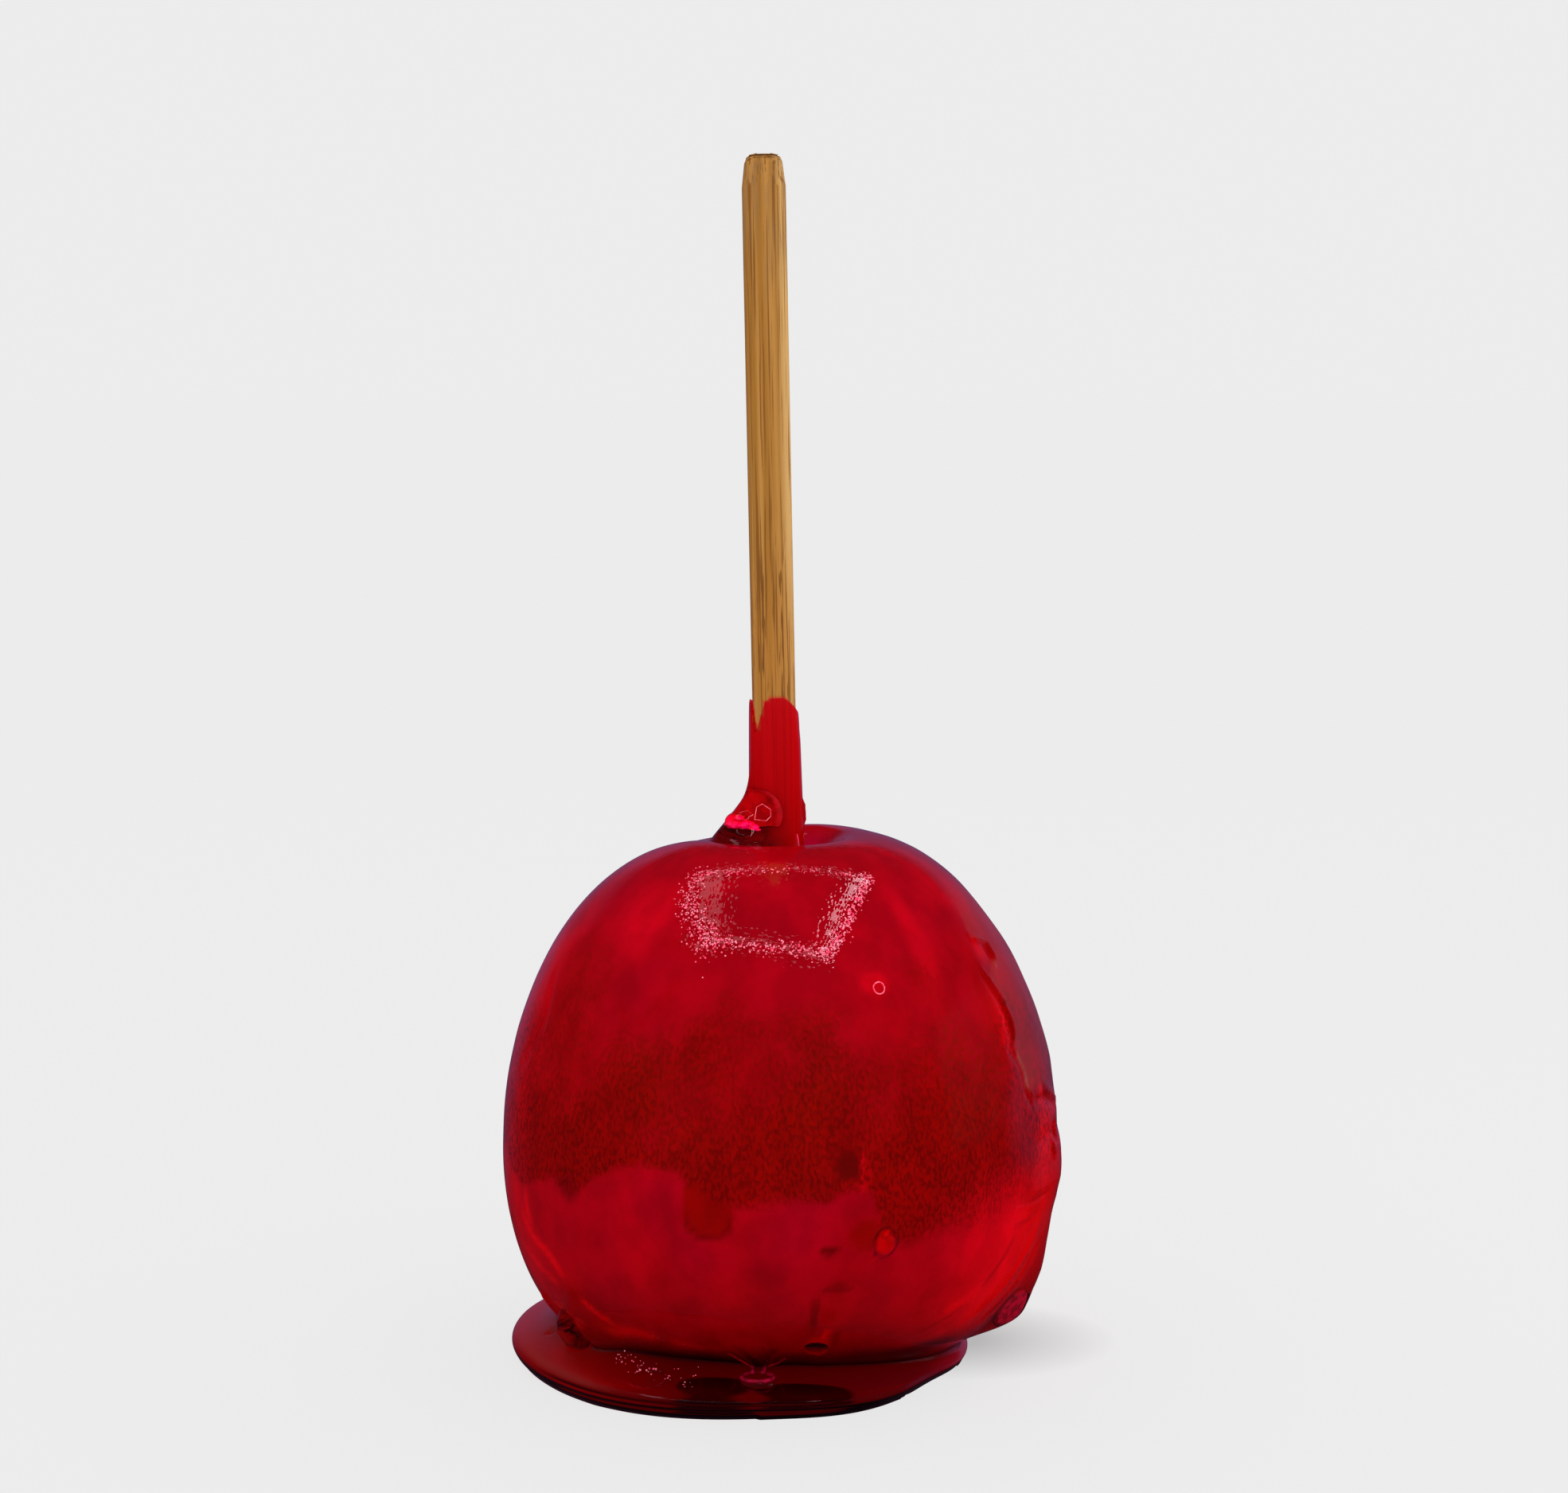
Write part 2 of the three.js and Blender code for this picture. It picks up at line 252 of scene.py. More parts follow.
def patch(places, angle, height, wide, high, soft=0.25, power=2):
    """A mask that fills an oval on the side, with a soft edge."""
    return 1 - fade(oval_reach(places, angle, height, wide, high, power), 1 - soft, 1 + soft)


def angles_of(places):
    return np.degrees(np.arctan2(places[:, 1], places[:, 0])) % 360


def turns_from(angle, places):
    """Angles counted from a given one, from -180 to 180 degrees."""
    return (angles_of(places) - angle + 180) % 360 - 180


def uneven(places, size, seed=0, drawn_out=1):
    """Smooth chance values, about -1 to 1, that change over a size in mm, longer in height."""
    squeezed = places * np.array([1, 1, 1 / drawn_out]) / (size * MM)
    shift = Vector((seed, 2 * seed, 3 * seed))
    return np.array([noise.noise(Vector(place) + shift) for place in squeezed])


# %% [markdown]
# ## The stick
#
# The real stick is split bamboo, planed to a square bar of about 6 mm with rounded corners and a
# lightly tapered end. It is made as one would in wood: a bar is cut to length, its long corners
# are rounded with a bevel, the end is tapered, and its rim is softened. It was pushed in a little
# off plumb, so it is turned and leant last, about the point where it crosses the apple's axis.

# %% The bar and its rounded corners
STICK_SIDE = 5.86 * MM
STICK_CORNER = 1.55 * MM
STICK_TURN = math.radians(3)
STICK_LEAN = math.radians(1.1)
STICK_CROSSES_AT = 83 * MM
TIP_LENGTH = 4.4 * MM
TIP_SIDE = 5.2 * MM
TIP_RIM = 0.75 * MM
ROOM_ABOVE = 0.15 * MM

low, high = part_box("stick")
stick_top = high.z - ROOM_ABOVE
stick_length = stick_top - low.z
alone(frame["nodes"]["stick"])
bpy.ops.mesh.primitive_cube_add(size=1, location=(0, 0, low.z + stick_length / 2))
stick = bpy.context.object
stick.name = "bamboo_stick"
alone(stick)
bpy.ops.transform.resize(value=(STICK_SIDE, STICK_SIDE, stick_length))
bpy.ops.object.transform_apply(location=True, rotation=True, scale=True)
bpy.ops.object.mode_set(mode="EDIT")
pick(stick, lambda e: abs(e.verts[0].co.z - e.verts[1].co.z) > stick_length / 2, "edges")
bpy.ops.mesh.bevel(offset=STICK_CORNER, segments=5, affect="EDGES")

# %% [markdown]
# The tip is tapered by drawing in the last stretch of the bar. Cuts along and across it come
# after that: they leave the form as it is, and give the mesh points fine enough to be stained.


# %% The tip, and cuts that carry the stain
def cut(place, facing):
    bpy.ops.mesh.select_all(action="SELECT")
    bpy.ops.mesh.bisect(plane_co=place, plane_no=facing)


cut((0, 0, stick_top - TIP_LENGTH), (0, 0, 1))
pick(stick, lambda v: v.co.z > stick_top - TIP_LENGTH / 2, "verts")
narrowing = TIP_SIDE / STICK_SIDE
bpy.ops.transform.resize(value=(narrowing, narrowing, 1), center_override=(0, 0, stick_top))
pick(stick, lambda f: f.normal.z > 0.9)
bpy.ops.mesh.bevel(offset=TIP_RIM, segments=4, affect="EDGES")

CUT_STEP = 5 * MM
FINE_FROM, FINE_TO, FINE_STEP = 84 * MM, 95 * MM, 0.5 * MM
for height in np.arange(low.z + CUT_STEP, stick_top - TIP_LENGTH, CUT_STEP):
    cut((0, 0, height), (0, 0, 1))
for height in np.arange(FINE_FROM, FINE_TO, FINE_STEP):
    cut((0, 0, height), (0, 0, 1))
FLAT = STICK_SIDE / 2 - STICK_CORNER
for across in np.linspace(-FLAT, FLAT, 8)[1:-1]:
    cut((across, 0, 0), (1, 0, 0))
    cut((0, across, 0), (0, 1, 0))
bpy.ops.object.mode_set(mode="OBJECT")
straight = points_of(stick)
print("stick, as planed:", triangles(stick), "triangles")

# %% [markdown]
# The bar's own straight places are kept with it before it is leant, because the grain runs along
# the bar and not straight up.

# %% Turning and leaning the stick
keep_values(stick, "bar", straight / MM, "FLOAT_VECTOR", "vector")
alone(stick)
bpy.ops.object.mode_set(mode="EDIT")
bpy.ops.mesh.select_all(action="SELECT")
bpy.ops.transform.rotate(value=-STICK_TURN, orient_axis="Z", center_override=(0, 0, 0))
bpy.ops.transform.rotate(value=STICK_LEAN, orient_axis="Y", center_override=(0, 0, STICK_CROSSES_AT))
bpy.ops.object.mode_set(mode="OBJECT")
bpy.ops.object.shade_smooth_by_angle(angle=math.radians(40))
stick_box = (*stick.bound_box[0], *stick.bound_box[6])
print("stick leant; its box, mm:", [round(v / MM, 2) for v in stick_box])

# %% [markdown]
# ## The apple
#
# The apple shows only through the toffee, but its colour makes most of the sweet's colour. Its
# form is the frame's own, rounded by subdivision. It is fine enough to hold painted colours.

# %% The apple
apple = copy_of("apple", "apple_in_toffee")
refine(apple, 3)
alone(apple)
bpy.ops.object.shade_smooth()
print("apple:", triangles(apple), "triangles")

# %% [markdown]
# ## The toffee
#
# The coat, the collar up the stick and the foot set as one piece of clear sugar, so they are one
# closed mesh. Its inner wall is drawn a little way into the apple and the stick. With a gap there
# the eye would see a film of air under the toffee, and the apple would look like a bubble.

# %% The toffee, with its inner wall drawn into what it holds
INNER_GAP = 0.45 * MM
BITE = 0.25 * MM
FACES_INWARD = -0.3

toffee = copy_of("toffee", "toffee_coat")
refine(toffee, 2)
held = [surface_of(apple), surface_of(stick)]
places, facing = points_of(toffee), normals_of(toffee)
inner = np.zeros(len(places), bool)
for row, (place, normal) in enumerate(zip(places, facing)):
    for tree in held:
        where, outward, _, _ = tree.find_nearest(Vector(place), INNER_GAP)
        if where is not None and outward.dot(Vector(normal)) < FACES_INWARD:
            places[row] = where - outward * BITE
            inner[row] = True
            break
put_points(toffee, places)
print("toffee:", triangles(toffee), "triangles,", int(inner.sum()), "points on the inner wall")

# %% [markdown]
# The inner wall is never seen as a form of its own, so it is thinned, and the faces saved go to
# the outside where the runs and bubbles are. There the mesh is cut once more.

# %% Faces moved from the inside to where the relief is
INNER_KEPT = 0.1
FINE_FRONT = (196, 345)
FINE_TOP = 31 * MM
FINE_EDGE = (322, 359)
FINE_EDGE_TOP = 63 * MM
FINE_ABOVE = 1.2 * MM
FINE_OUTSIDE = 18 * MM

alone(toffee)
bpy.ops.object.mode_set(mode="EDIT")
pick(toffee, lambda face: all(inner[v.index] for v in face.verts))
bpy.ops.mesh.decimate(ratio=INNER_KEPT)


def wants_detail(face):
    middle = face.calc_center_median()
    angle = math.degrees(math.atan2(middle.y, middle.x)) % 360
    radius = math.hypot(middle.x, middle.y)
    if len(face.verts) != 4 or middle.z < FINE_ABOVE or radius < FINE_OUTSIDE:
        return False
    if FINE_FRONT[0] < angle < FINE_FRONT[1] and middle.z < FINE_TOP:
        return True
    return FINE_EDGE[0] < angle < FINE_EDGE[1] and middle.z < FINE_EDGE_TOP


pick(toffee, wants_detail)
bpy.ops.mesh.subdivide(number_cuts=1, smoothness=1)
bpy.ops.object.mode_set(mode="OBJECT")
print("toffee, refined where it shows relief:", triangles(toffee), "triangles")

# %% [markdown]
# Points of the outer wall are told from those of the inner wall again, now by their distance from
# the apple and the stick, because the cuts have renumbered them.

# %% The outer wall
places = points_of(toffee)
outer = np.ones(len(places), bool)
for row, place in enumerate(places):
    for tree in held:
        where, outward, _, _ = tree.find_nearest(Vector(place), INNER_GAP)
        if where is not None and (Vector(place) - where).dot(outward) < 0:
            outer[row] = False
            break
coat = surface_of(toffee)
print("points on the outer wall:", int(outer.sum()), "of", len(places))

# %% [markdown]
# ## Relief in the coat
#
# Sugar that sets on an apple isn't even. It keeps broad waves where it flowed, thin lips where one
# layer ran over another, small domes over bubbles, and drops at the ends of runs. Each one is a
# mask over the outer wall and a height in millimetres; all heights are added and the wall is moved
# along its normals once, so their order doesn't matter.
#
# The whole wall is drawn in a little first, to leave room for what stands out. The waves are weaker
# on the upper front, which is smooth. The runs on the right side make it bulge at several heights.

# %% Broad waves
SHRINK = 0.1
BULGE_HEIGHTS = (9, 12, 16, 20, 23, 26, 29, 33, 35, 37, 42, 47, 53)
BULGE_LIFTS = (0, 0.35, 0.4, 0.65, 0.95, 0.9, 0.45, 0.2, 0.6, 0.7, 0.65, 0.3, 0)

height_of = places[:, 2] / MM
lift = np.zeros(len(places))
lift -= SHRINK * fade(height_of, 1, 3)
body = fade(height_of, 3, 9) * (1 - fade(height_of, 72, 76))
body *= 1 - 0.65 * patch(places, 268, 66, 24, 12, soft=0.4)
lift += body * 0.10 * uneven(places, 9)
lift += body * 0.03 * uneven(places, 4, seed=3)
lift += body * 0.12 * uneven(places, 8, seed=5, drawn_out=4)
turn_right = turns_from(0, places)
right_side = fade(turn_right, -30, -12) * (1 - fade(turn_right, 12, 35))
lift += right_side * np.interp(height_of, BULGE_HEIGHTS, BULGE_LIFTS)


# %% Helpers for relief
def ridge(find, *corners, width, height, ends=0.2):
    """A lip, or with a negative height a groove, along a line on the coat."""
    global lift
    lift = lift + height * soft_line(places, line_on(coat, find, *corners), width, ends)


def dome(angle, height_there, wide, high, rise):
    """A rounded bead on the side, or with a negative rise a dent."""
    global lift
    reach = oval_reach(places, angle, height_there, wide, high)
    lift = lift + rise * np.sqrt(np.clip(1 - reach**2, 0, 1))


def bead(x, y, radius, rise):
    """The same on the foot, placed by x and y in mm."""
    global lift
    gap = np.hypot(places[:, 0] / MM - x, places[:, 1] / MM - y) / radius
    low_down = 1 - fade(height_of, 6, 8)
    lift = lift + rise * np.sqrt(np.clip(1 - gap**2, 0, 1)) * low_down


# %% [markdown]
# A second layer ran down the right side. Its front edge is a raised lip in two arcs, with a thin
# seam below them that turns out to the nub.

# %% The second layer's edge on the right
ridge(at_side, (330, 61.4), (337, 60.2), (337.5, 58.6), (335.4, 56.9), width=0.4, height=0.5)
ridge(at_side, (334.3, 60.3), (336.1, 58.8), (334.3, 57), width=0.3, height=-0.15)
ridge(
    at_side, (328.4, 57.9), (329.4, 56.1), (331.7, 53.2), (332.3, 51), (332.3, 48.7), (330.1, 47.3),
    width=0.4, height=0.55,
)
ridge(
    at_side, (327.4, 57.7), (328.4, 55.9), (330.6, 53.1), (331.2, 51), (331.1, 48.7), (329.2, 47.1),
    width=0.3, height=-0.15,
)
ridge(
    at_side, (328.6, 46.8), (331.5, 45.3), (333.6, 42.8), (334, 40.9), (335, 39.5), (336.5, 38.7),
    width=0.3, height=-0.35, ends=0.05,
)
ridge(at_side, (336.3, 38.9), (339, 38.5), (342.4, 38.4), (347, 37.6), (351, 36.5), width=0.3, height=-0.35)
ridge(at_side, (342, 41), (345, 39.3), (350, 37.8), (354, 36), width=0.6, height=0.3)
dome(349, 33, 1.2, 1.3, -0.55)
dome(347.5, 31, 1.0, 1.4, 0.3)

# %% Seams and drops low on the right
ridge(at_side, (325.9, 26.4), (331.3, 25.6), (338.1, 25.2), (346.4, 25.5), width=0.3, height=-0.15)
ridge(at_side, (323.9, 23.6), (331, 22.9), (336.8, 22.5), (342, 23.6), width=0.3, height=-0.15)
ridge(at_side, (344, 22), (338, 17), (331, 12.5), (322, 8.5), width=0.9, height=0.3)
ridge(at_side, (348, 20), (343, 14.5), (336, 10.4), (329, 7.5), width=0.7, height=-0.25)

# %% Runs and grooves on the front
ridge(at_side, (220, 15), (216, 12), (212, 10), width=0.9, height=0.35)
ridge(at_side, (199, 12), (202, 9), (206, 6.5), width=0.6, height=0.5)
ridge(at_side, (284.5, 21), (283.3, 18), (282.6, 15.5), width=0.6, height=0.2)
ridge(at_side, (286.7, 37.4), (287.9, 34.4), (287.6, 31.3), width=0.35, height=0.3)
ridge(at_side, (260, 9), (262.5, 6.5), (264.5, 4.8), width=0.6, height=0.5)
ridge(at_side, (270, 9), (268.5, 6.5), (266.5, 4.8), width=0.6, height=0.5)
lift -= 0.3 * np.exp(-(((oval_reach(places, 292.8, 24.7, 1.85, 2.15) - 1) / 0.18) ** 2))

# %% [markdown]
# The foot set in rings: it spread, stopped, and spread again under fresh sugar. Two low steps run
# round its front near the rim, a seam curves in from the left, and a sunken swirl with a broken
# bubble lies where the last drops fell.

# %% Rings and marks on the foot
for height in (1.3, 2.1):
    ridge(
        at_side, (205, height), (225, height), (250, height), (275, height - 0.1), (300, height - 0.2),
        width=0.35, height=-0.22,
    )
ridge(
    from_above, (-35.3, -11.4), (-33.5, -14.2), (-31, -16.2), (-30.1, -13.6), (-29.7, -11.7),
    width=0.35, height=-0.35,
)
bead(-31.1, -8.4, 0.8, -0.5)
bead(-17.0, -26.5, 2.6, -0.7)
ridge(from_above, (-20.6, -25), (-19.4, -28.4), (-15.5, -29.3), (-11.5, -28.7), width=0.5, height=0.35)
ridge(from_above, (-19, -24), (-15, -24.6), (-12, -26.2), (-9.6, -28.6), width=0.4, height=0.25)
bead(-16.6, -26.2, 0.5, 0.6)
bead(-13.6, -27.4, 0.4, 0.5)

# %% The collar's drips
ridge(at_side, (331, 78.5), (336, 76.5), (340, 74.6), width=0.4, height=0.4)
ridge(at_side, (200, 74.3), (225, 73.9), (250, 73.5), (268, 73.5), width=0.35, height=-0.35)

# %% [markdown]
# All of the relief is now given to the wall at once, and the foot's underside is pressed flat again,
# because it set on a table and touches it up to its rim. Whole drops come last. A drop is a ball that
# stands partly out of the wall, and the wall is pushed out over it, as cling film would be.


# %% Moving the wall, and drops that stand out of it
UNDERSIDE_BELOW = 0.6 * MM
FACES_DOWN = -0.85
BALL_MIDDLE = 0.05


def swell(centre, *radii):
    """Pushes the outer wall out over an oval ball. Its radii along x, y and z are in mm."""
    size = np.array(radii) * MM
    away = (places - np.array(centre)) / size
    reach = np.linalg.norm(away, axis=1)
    covered = outer & (reach < 1) & (reach > BALL_MIDDLE)
    places[covered] = np.array(centre) + away[covered] / reach[covered][:, None] * size


def sunk(find, *place, by):
    """The place that lies a number of mm under the coat, measured towards the axis."""
    where = find(coat, *place)
    return where - Vector((where.x, where.y, 0)).normalized() * by * MM


facing = normals_of(toffee)
under_foot = outer & (places[:, 2] < UNDERSIDE_BELOW) & (facing[:, 2] < FACES_DOWN)
places[outer] += facing[outer] * (lift[outer] * MM)[:, None]
places[under_foot, 2] = 0
swell(sunk(at_side, 209.5, 7.6, by=0.5), 3.0, 2.2, 3.8)
swell(sunk(at_side, 282.3, 14.6, by=0.7), 1.2, 1.2, 1.4)
swell(sunk(at_side, 281.2, 8.8, by=0.4), 1.7, 1.5, 1.2)
swell(Vector((-2.3, -26.8, 3.4)) * MM, 2.4, 2.1, 1.3)
swell(Vector((17.2, -19.6, 3.2)) * MM, 0.9, 0.9, 0.9)
swell(sunk(at_side, 292.8, 24.8, by=0.8), 1.3, 1.3, 1.6)
swell(sunk(at_side, 295.1, 57.3, by=0.3), 0.95, 0.95, 0.95)
swell(sunk(at_side, 264, 57, by=0.4), 0.7, 0.7, 0.7)
swell(sunk(at_side, 219, 75.6, by=2.1), 2.5, 2.5, 1.5)

# %% [markdown]
# The collar's top is a round arch on the stick's broad side. It falls away from its highest point,
# fast on the right and slowly on the left, as far as the notch.

# %% Rounding the collar's top, and keeping the size
ARCH_DROP = 1.9 * MM
ARCH_TOP, ARCH_RIGHT, ARCH_LEFT, NOTCH = 0.9 * MM, 3.4 * MM, -3.6 * MM, -2.9 * MM
rim = fade(places[:, 2], 86 * MM, 90.5 * MM)
right_of = np.clip((places[:, 0] - ARCH_TOP) / (ARCH_RIGHT - ARCH_TOP), 0, 1)
left_of = np.clip((ARCH_TOP - places[:, 0]) / (ARCH_TOP - ARCH_LEFT), 0, 1) * (places[:, 0] > NOTCH)
places[:, 2] -= ARCH_DROP * rim * np.maximum(right_of, left_of) ** 2
low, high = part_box("toffee")
places = np.clip(places, np.array(low), np.array(high))
put_points(toffee, places)
alone(toffee)
bpy.ops.object.shade_smooth()
print("relief, mm: from", round(lift[outer].min(), 2), "to", round(lift[outer].max(), 2))

# %% [markdown]
# ## Froth in the collar
#
# Sugar boils, and some froth set in the thick toffee at the stick's foot. Through the red it shows
# as a bright patch with sharp little facets, and beside it lies the angular rim of a burst bubble.
# The sugar round them is cloudy with bubbles too fine to see. It is a ball that is kept a little way
# under the surface and cut off flat below, where the sugar is clear again and looks dark.

# %% The cloudy sugar in the lump
CLOUD = (230, 76.6)
CLOUD_RADIUS = 3.4 * MM
CLOUD_DEPTH = 0.9 * MM
CLOUD_BOTTOM = 74.9 * MM
coat = surface_of(toffee)


def keep_under(piece, depth):
    """Draws in the points of a piece that come nearer to the toffee's walls than a depth."""
    places = points_of(piece)
    for row, place in enumerate(places):
        where, outward, _, _ = coat.find_nearest(Vector(place))
        if (Vector(place) - where).dot(outward) > -depth:
            places[row] = where - outward * depth
    put_points(piece, places)


def ball_inside(name, centre, radius, depth):
    """A ball of cloudy sugar that stays a depth under the toffee's surface."""
    bpy.ops.object.select_all(action="DESELECT")
    bpy.ops.mesh.primitive_ico_sphere_add(subdivisions=4, radius=radius, location=centre)
    piece = bpy.context.object
    piece.name = name
    bpy.ops.object.transform_apply(location=True)
    keep_under(piece, depth)
    bpy.ops.object.shade_smooth()
    return piece


cloud_middle = sunk(at_side, *CLOUD, by=CLOUD_RADIUS / MM)
cloud = ball_inside("cloudy_sugar", cloud_middle, CLOUD_RADIUS, CLOUD_DEPTH)
shape = points_of(cloud)
shape[:, 2] = np.maximum(shape[:, 2], CLOUD_BOTTOM)
put_points(cloud, shape)
print("cloudy sugar:", triangles(cloud), "triangles")

# %% [markdown]
# The froth is six lumps. Each is a coarse ball, flattened and with its corners shaken by chance, so
# that its facets catch the light. A row gives its angle, height, radius and flatness.

# %% Froth
FROTH = (
    (219, 75.4, 1.5, 0.55), (231, 75.3, 1.3, 0.5), (240, 75.0, 0.9, 0.5), (226, 76.2, 0.7, 0.4),
    (246, 74.7, 0.5, 0.3), (212, 75.2, 0.8, 0.4),
)
SUNK, SUNK_SHARE = 0.3, 0.7
SHAKE = 0.12

rng = np.random.default_rng(4)
bubbles = []
for angle, height, radius, thick in FROTH:
    middle = sunk(at_side, angle, height, by=radius * SUNK_SHARE + SUNK)
    bpy.ops.object.select_all(action="DESELECT")
    bpy.ops.mesh.primitive_ico_sphere_add(subdivisions=2, radius=radius * MM, location=middle)
    bubble = bpy.context.object
    shaken = points_of(bubble) * (1 + SHAKE * rng.uniform(-1, 1, (len(bubble.data.vertices), 1)))
    put_points(bubble, shaken * np.array([1, 1, thick]))
    bubbles.append(bubble)

for bubble in bubbles:
    bubble.select_set(True)
bpy.ops.object.join()
froth = bpy.context.object
froth.name = "froth_in_collar"
bpy.ops.object.transform_apply(location=True, rotation=True, scale=True)
print("froth:", triangles(froth), "triangles")

# %% [markdown]
# Where a bubble burst, or a drop landed on the foot, a thin ring of cloudy sugar was left. Two runs
# of it lead down to the drop. They are tubes laid a little way under the surface. The two thickest
# drops, at the left and right of the foot, each have a cloudy core as well.


# %% Thin rings and runs of cloudy sugar
def thread(name, line, radius, closed=False):
    """A thin tube through points given in metres."""
    curve = bpy.data.curves.new(name, "CURVE")
    curve.dimensions = "3D"
    curve.bevel_depth = radius * MM
    curve.bevel_resolution = 1
    curve.use_fill_caps = not closed
    spline = curve.splines.new("POLY")
    spline.points.add(len(line) - 1)
    for point, place in zip(spline.points, line):
        point.co = (*place, 1)
    spline.use_cyclic_u = closed
    piece = bpy.data.objects.new(name, curve)
    bpy.context.collection.objects.link(piece)
    alone(piece)
    bpy.ops.object.convert(target="MESH")
    bpy.ops.object.shade_smooth()
    return bpy.context.object


def joined(name, *pieces):
    """Makes one piece of several."""
    bpy.ops.object.select_all(action="DESELECT")
    for piece in pieces:
        piece.select_set(True)
    bpy.context.view_layer.objects.active = pieces[0]
    bpy.ops.object.join()
    pieces[0].name = name
    return pieces[0]


# %% The rims of two bubbles
BURST = ((240, 77.7), (247, 78.1), (261, 77.3), (262, 76.4), (255, 75.8), (242, 76.1))
BURST_SUNK, BURST_RADIUS = 0.08, 0.055
BUBBLE_ANGLE, BUBBLE_HEIGHT = 295.1, 57.3
BUBBLE_WIDE, BUBBLE_HIGH = 1.4, 0.75
BUBBLE_SUNK, BUBBLE_RADIUS = 0.2, 0.1

ring_bubble = [
    (BUBBLE_ANGLE + BUBBLE_WIDE * math.cos(turn), BUBBLE_HEIGHT + BUBBLE_HIGH * math.sin(turn))
    for turn in np.radians(np.arange(0, 360, 30))
]
burst_line = [sunk(at_side, *corner, by=BURST_SUNK) for corner in BURST]
bubble_line = [sunk(at_side, *corner, by=BUBBLE_SUNK) for corner in ring_bubble]
burst = joined(
    "burst_bubble_rim",
    thread("burst", burst_line, BURST_RADIUS, closed=True),
    thread("ring_bubble", bubble_line, BUBBLE_RADIUS, closed=True),
)

# %% The drop on the foot, its runs, and the cores of the thick drops
DROP = Vector((-2.3, -26.8, 4.2)) * MM
DROP_WIDE, DROP_DEEP = 2.1, 1.7
DROP_COVER = 0.25 * MM
RUNS = (
    ((256, 7.4), (258.5, 6.2), (261, 5.1), (263.5, 4.6)),
    ((273, 6.4), (271, 5.4), (268.6, 4.9), (266.5, 4.6)),
)
RUN_SUNK = 0.8
TUBE_RADIUS = 0.3

circle = [
    DROP + Vector((DROP_WIDE * math.cos(turn), DROP_DEEP * math.sin(turn), 0)) * MM
    for turn in np.radians(np.arange(0, 360, 15))
]
runs = [[sunk(at_side, *place, by=RUN_SUNK) for place in smooth_line(corners)] for corners in RUNS]
drip = joined(
    "cloudy_drip",
    thread("ring", circle, TUBE_RADIUS, closed=True),
    *(thread("run", run, TUBE_RADIUS) for run in runs),
    ball_inside("right_drop", sunk(at_side, 350.5, 8, by=2.3), 3.2 * MM, DROP_COVER),
    ball_inside("left_drop", sunk(at_side, 205, 7, by=1.7), 1.6 * MM, DROP_COVER),
)
print("rims, runs and cores:", triangles(burst) + triangles(drip), "triangles")

# %% [markdown]
# On the upper front the sugar is full of fine bubbles. Their pale colour and their places are a painted
# highlight: they lie thickest in four streaks that meet, along the bars of the overhead lamps'
# reflection, and a few more lie in a curved streak on the foot, as its sparkles. One small ball is
# copied to chance places along each streak, just under the surface, and all of the copies are one mesh.

# %% Fine bubbles, laid out as a painted highlight
STREAKS = (
    (from_above, 420, 0.9, (-10.2, -17.4), (-11.7, -21.2), (-9.7, -25.4), (-7.9, -27.1)),
    (from_above, 260, 0.35, (-7.9, -27.1), (-2.4, -28.5), (2.8, -28.7), (7.3, -28.6)),
    (from_above, 420, 0.4, (7.3, -28.6), (9.9, -24.2), (12.7, -17.1)),
    (from_above, 160, 0.4, (-10.2, -17.4), (-4.6, -18.6), (2.8, -18.8), (12.7, -17.1)),
    (at_side, 60, 0.3, (223, 5), (232, 4.5), (241, 4.1), (249, 3.8)),
)
SMALLEST, LARGEST = 0.05, 0.16
BUBBLE_COVER = 0.05

bpy.ops.object.select_all(action="DESELECT")
bpy.ops.mesh.primitive_ico_sphere_add(subdivisions=1, radius=MM)
fine = bpy.context.object
fine.name = "fine_bubbles_painted_sparkle"
ball = points_of(fine)
ball_faces = np.array([face.vertices[:] for face in fine.data.polygons])
balls = []
for find, count, spread, *corners in STREAKS:
    line = smooth_line(corners, steps=20)
    for _ in range(count):
        chance_place = line[rng.integers(len(line))] + rng.normal(0, spread, 2)
        size = rng.uniform(SMALLEST, LARGEST)
        where, outward, _, _ = coat.find_nearest(find(coat, *chance_place))
        balls.append(ball * size + np.array(where - outward * (size + BUBBLE_COVER) * MM))
all_faces = np.vstack([ball_faces + n * len(ball) for n in range(len(balls))])
fine.data.clear_geometry()
fine.data.from_pydata(np.vstack(balls), [], all_faces)
print("fine bubbles:", len(balls), "of them,", triangles(fine), "triangles")

# %% [markdown]
# ## Stains and paint
#
# Where toffee climbed the stick, the bamboo soaked up red syrup. A ray from each point of the
# stick tells whether toffee lies over it there.

# %% The soaked foot of the stick
SOAK_DEPTH = 2.5 * MM
SOAKED_BELOW = 80 * MM
RAY_START = 0.02 * MM
SIDEWAYS = 0.1

soaked = np.zeros(len(stick.data.vertices))
places, facing = points_of(stick), normals_of(stick)
for row, (place, normal) in enumerate(zip(places, facing)):
    start, outward = Vector(place), Vector((normal[0], normal[1], 0))
    if place[2] < FINE_TO and outward.length > SIDEWAYS:
        where, _, _, _ = coat.ray_cast(start + outward.normalized() * RAY_START, outward, SOAK_DEPTH)
        soaked[row] = where is not None or place[2] < SOAKED_BELOW
keep_values(stick, "soaked", soaked)
print("stick points under toffee:", int(soaked.sum()), "of", len(soaked))

# %% [markdown]
# The apple's colours are painted on its points. Clear red toffee lets through red and almost
# nothing else, so the skin's own colour decides how bright the red is: a green cheek shows as
# brown, a red one as crimson, and a bare pale one as bright red. Some of the paint is painted
# light and shade instead: glows, highlights and dark marks under the toffee's runs, drops and bubbles.

# %% Colours of the skin
places = points_of(apple)
angle_of = angles_of(places)
height_of = places[:, 2] / MM
skin_of = surface_of(apple)

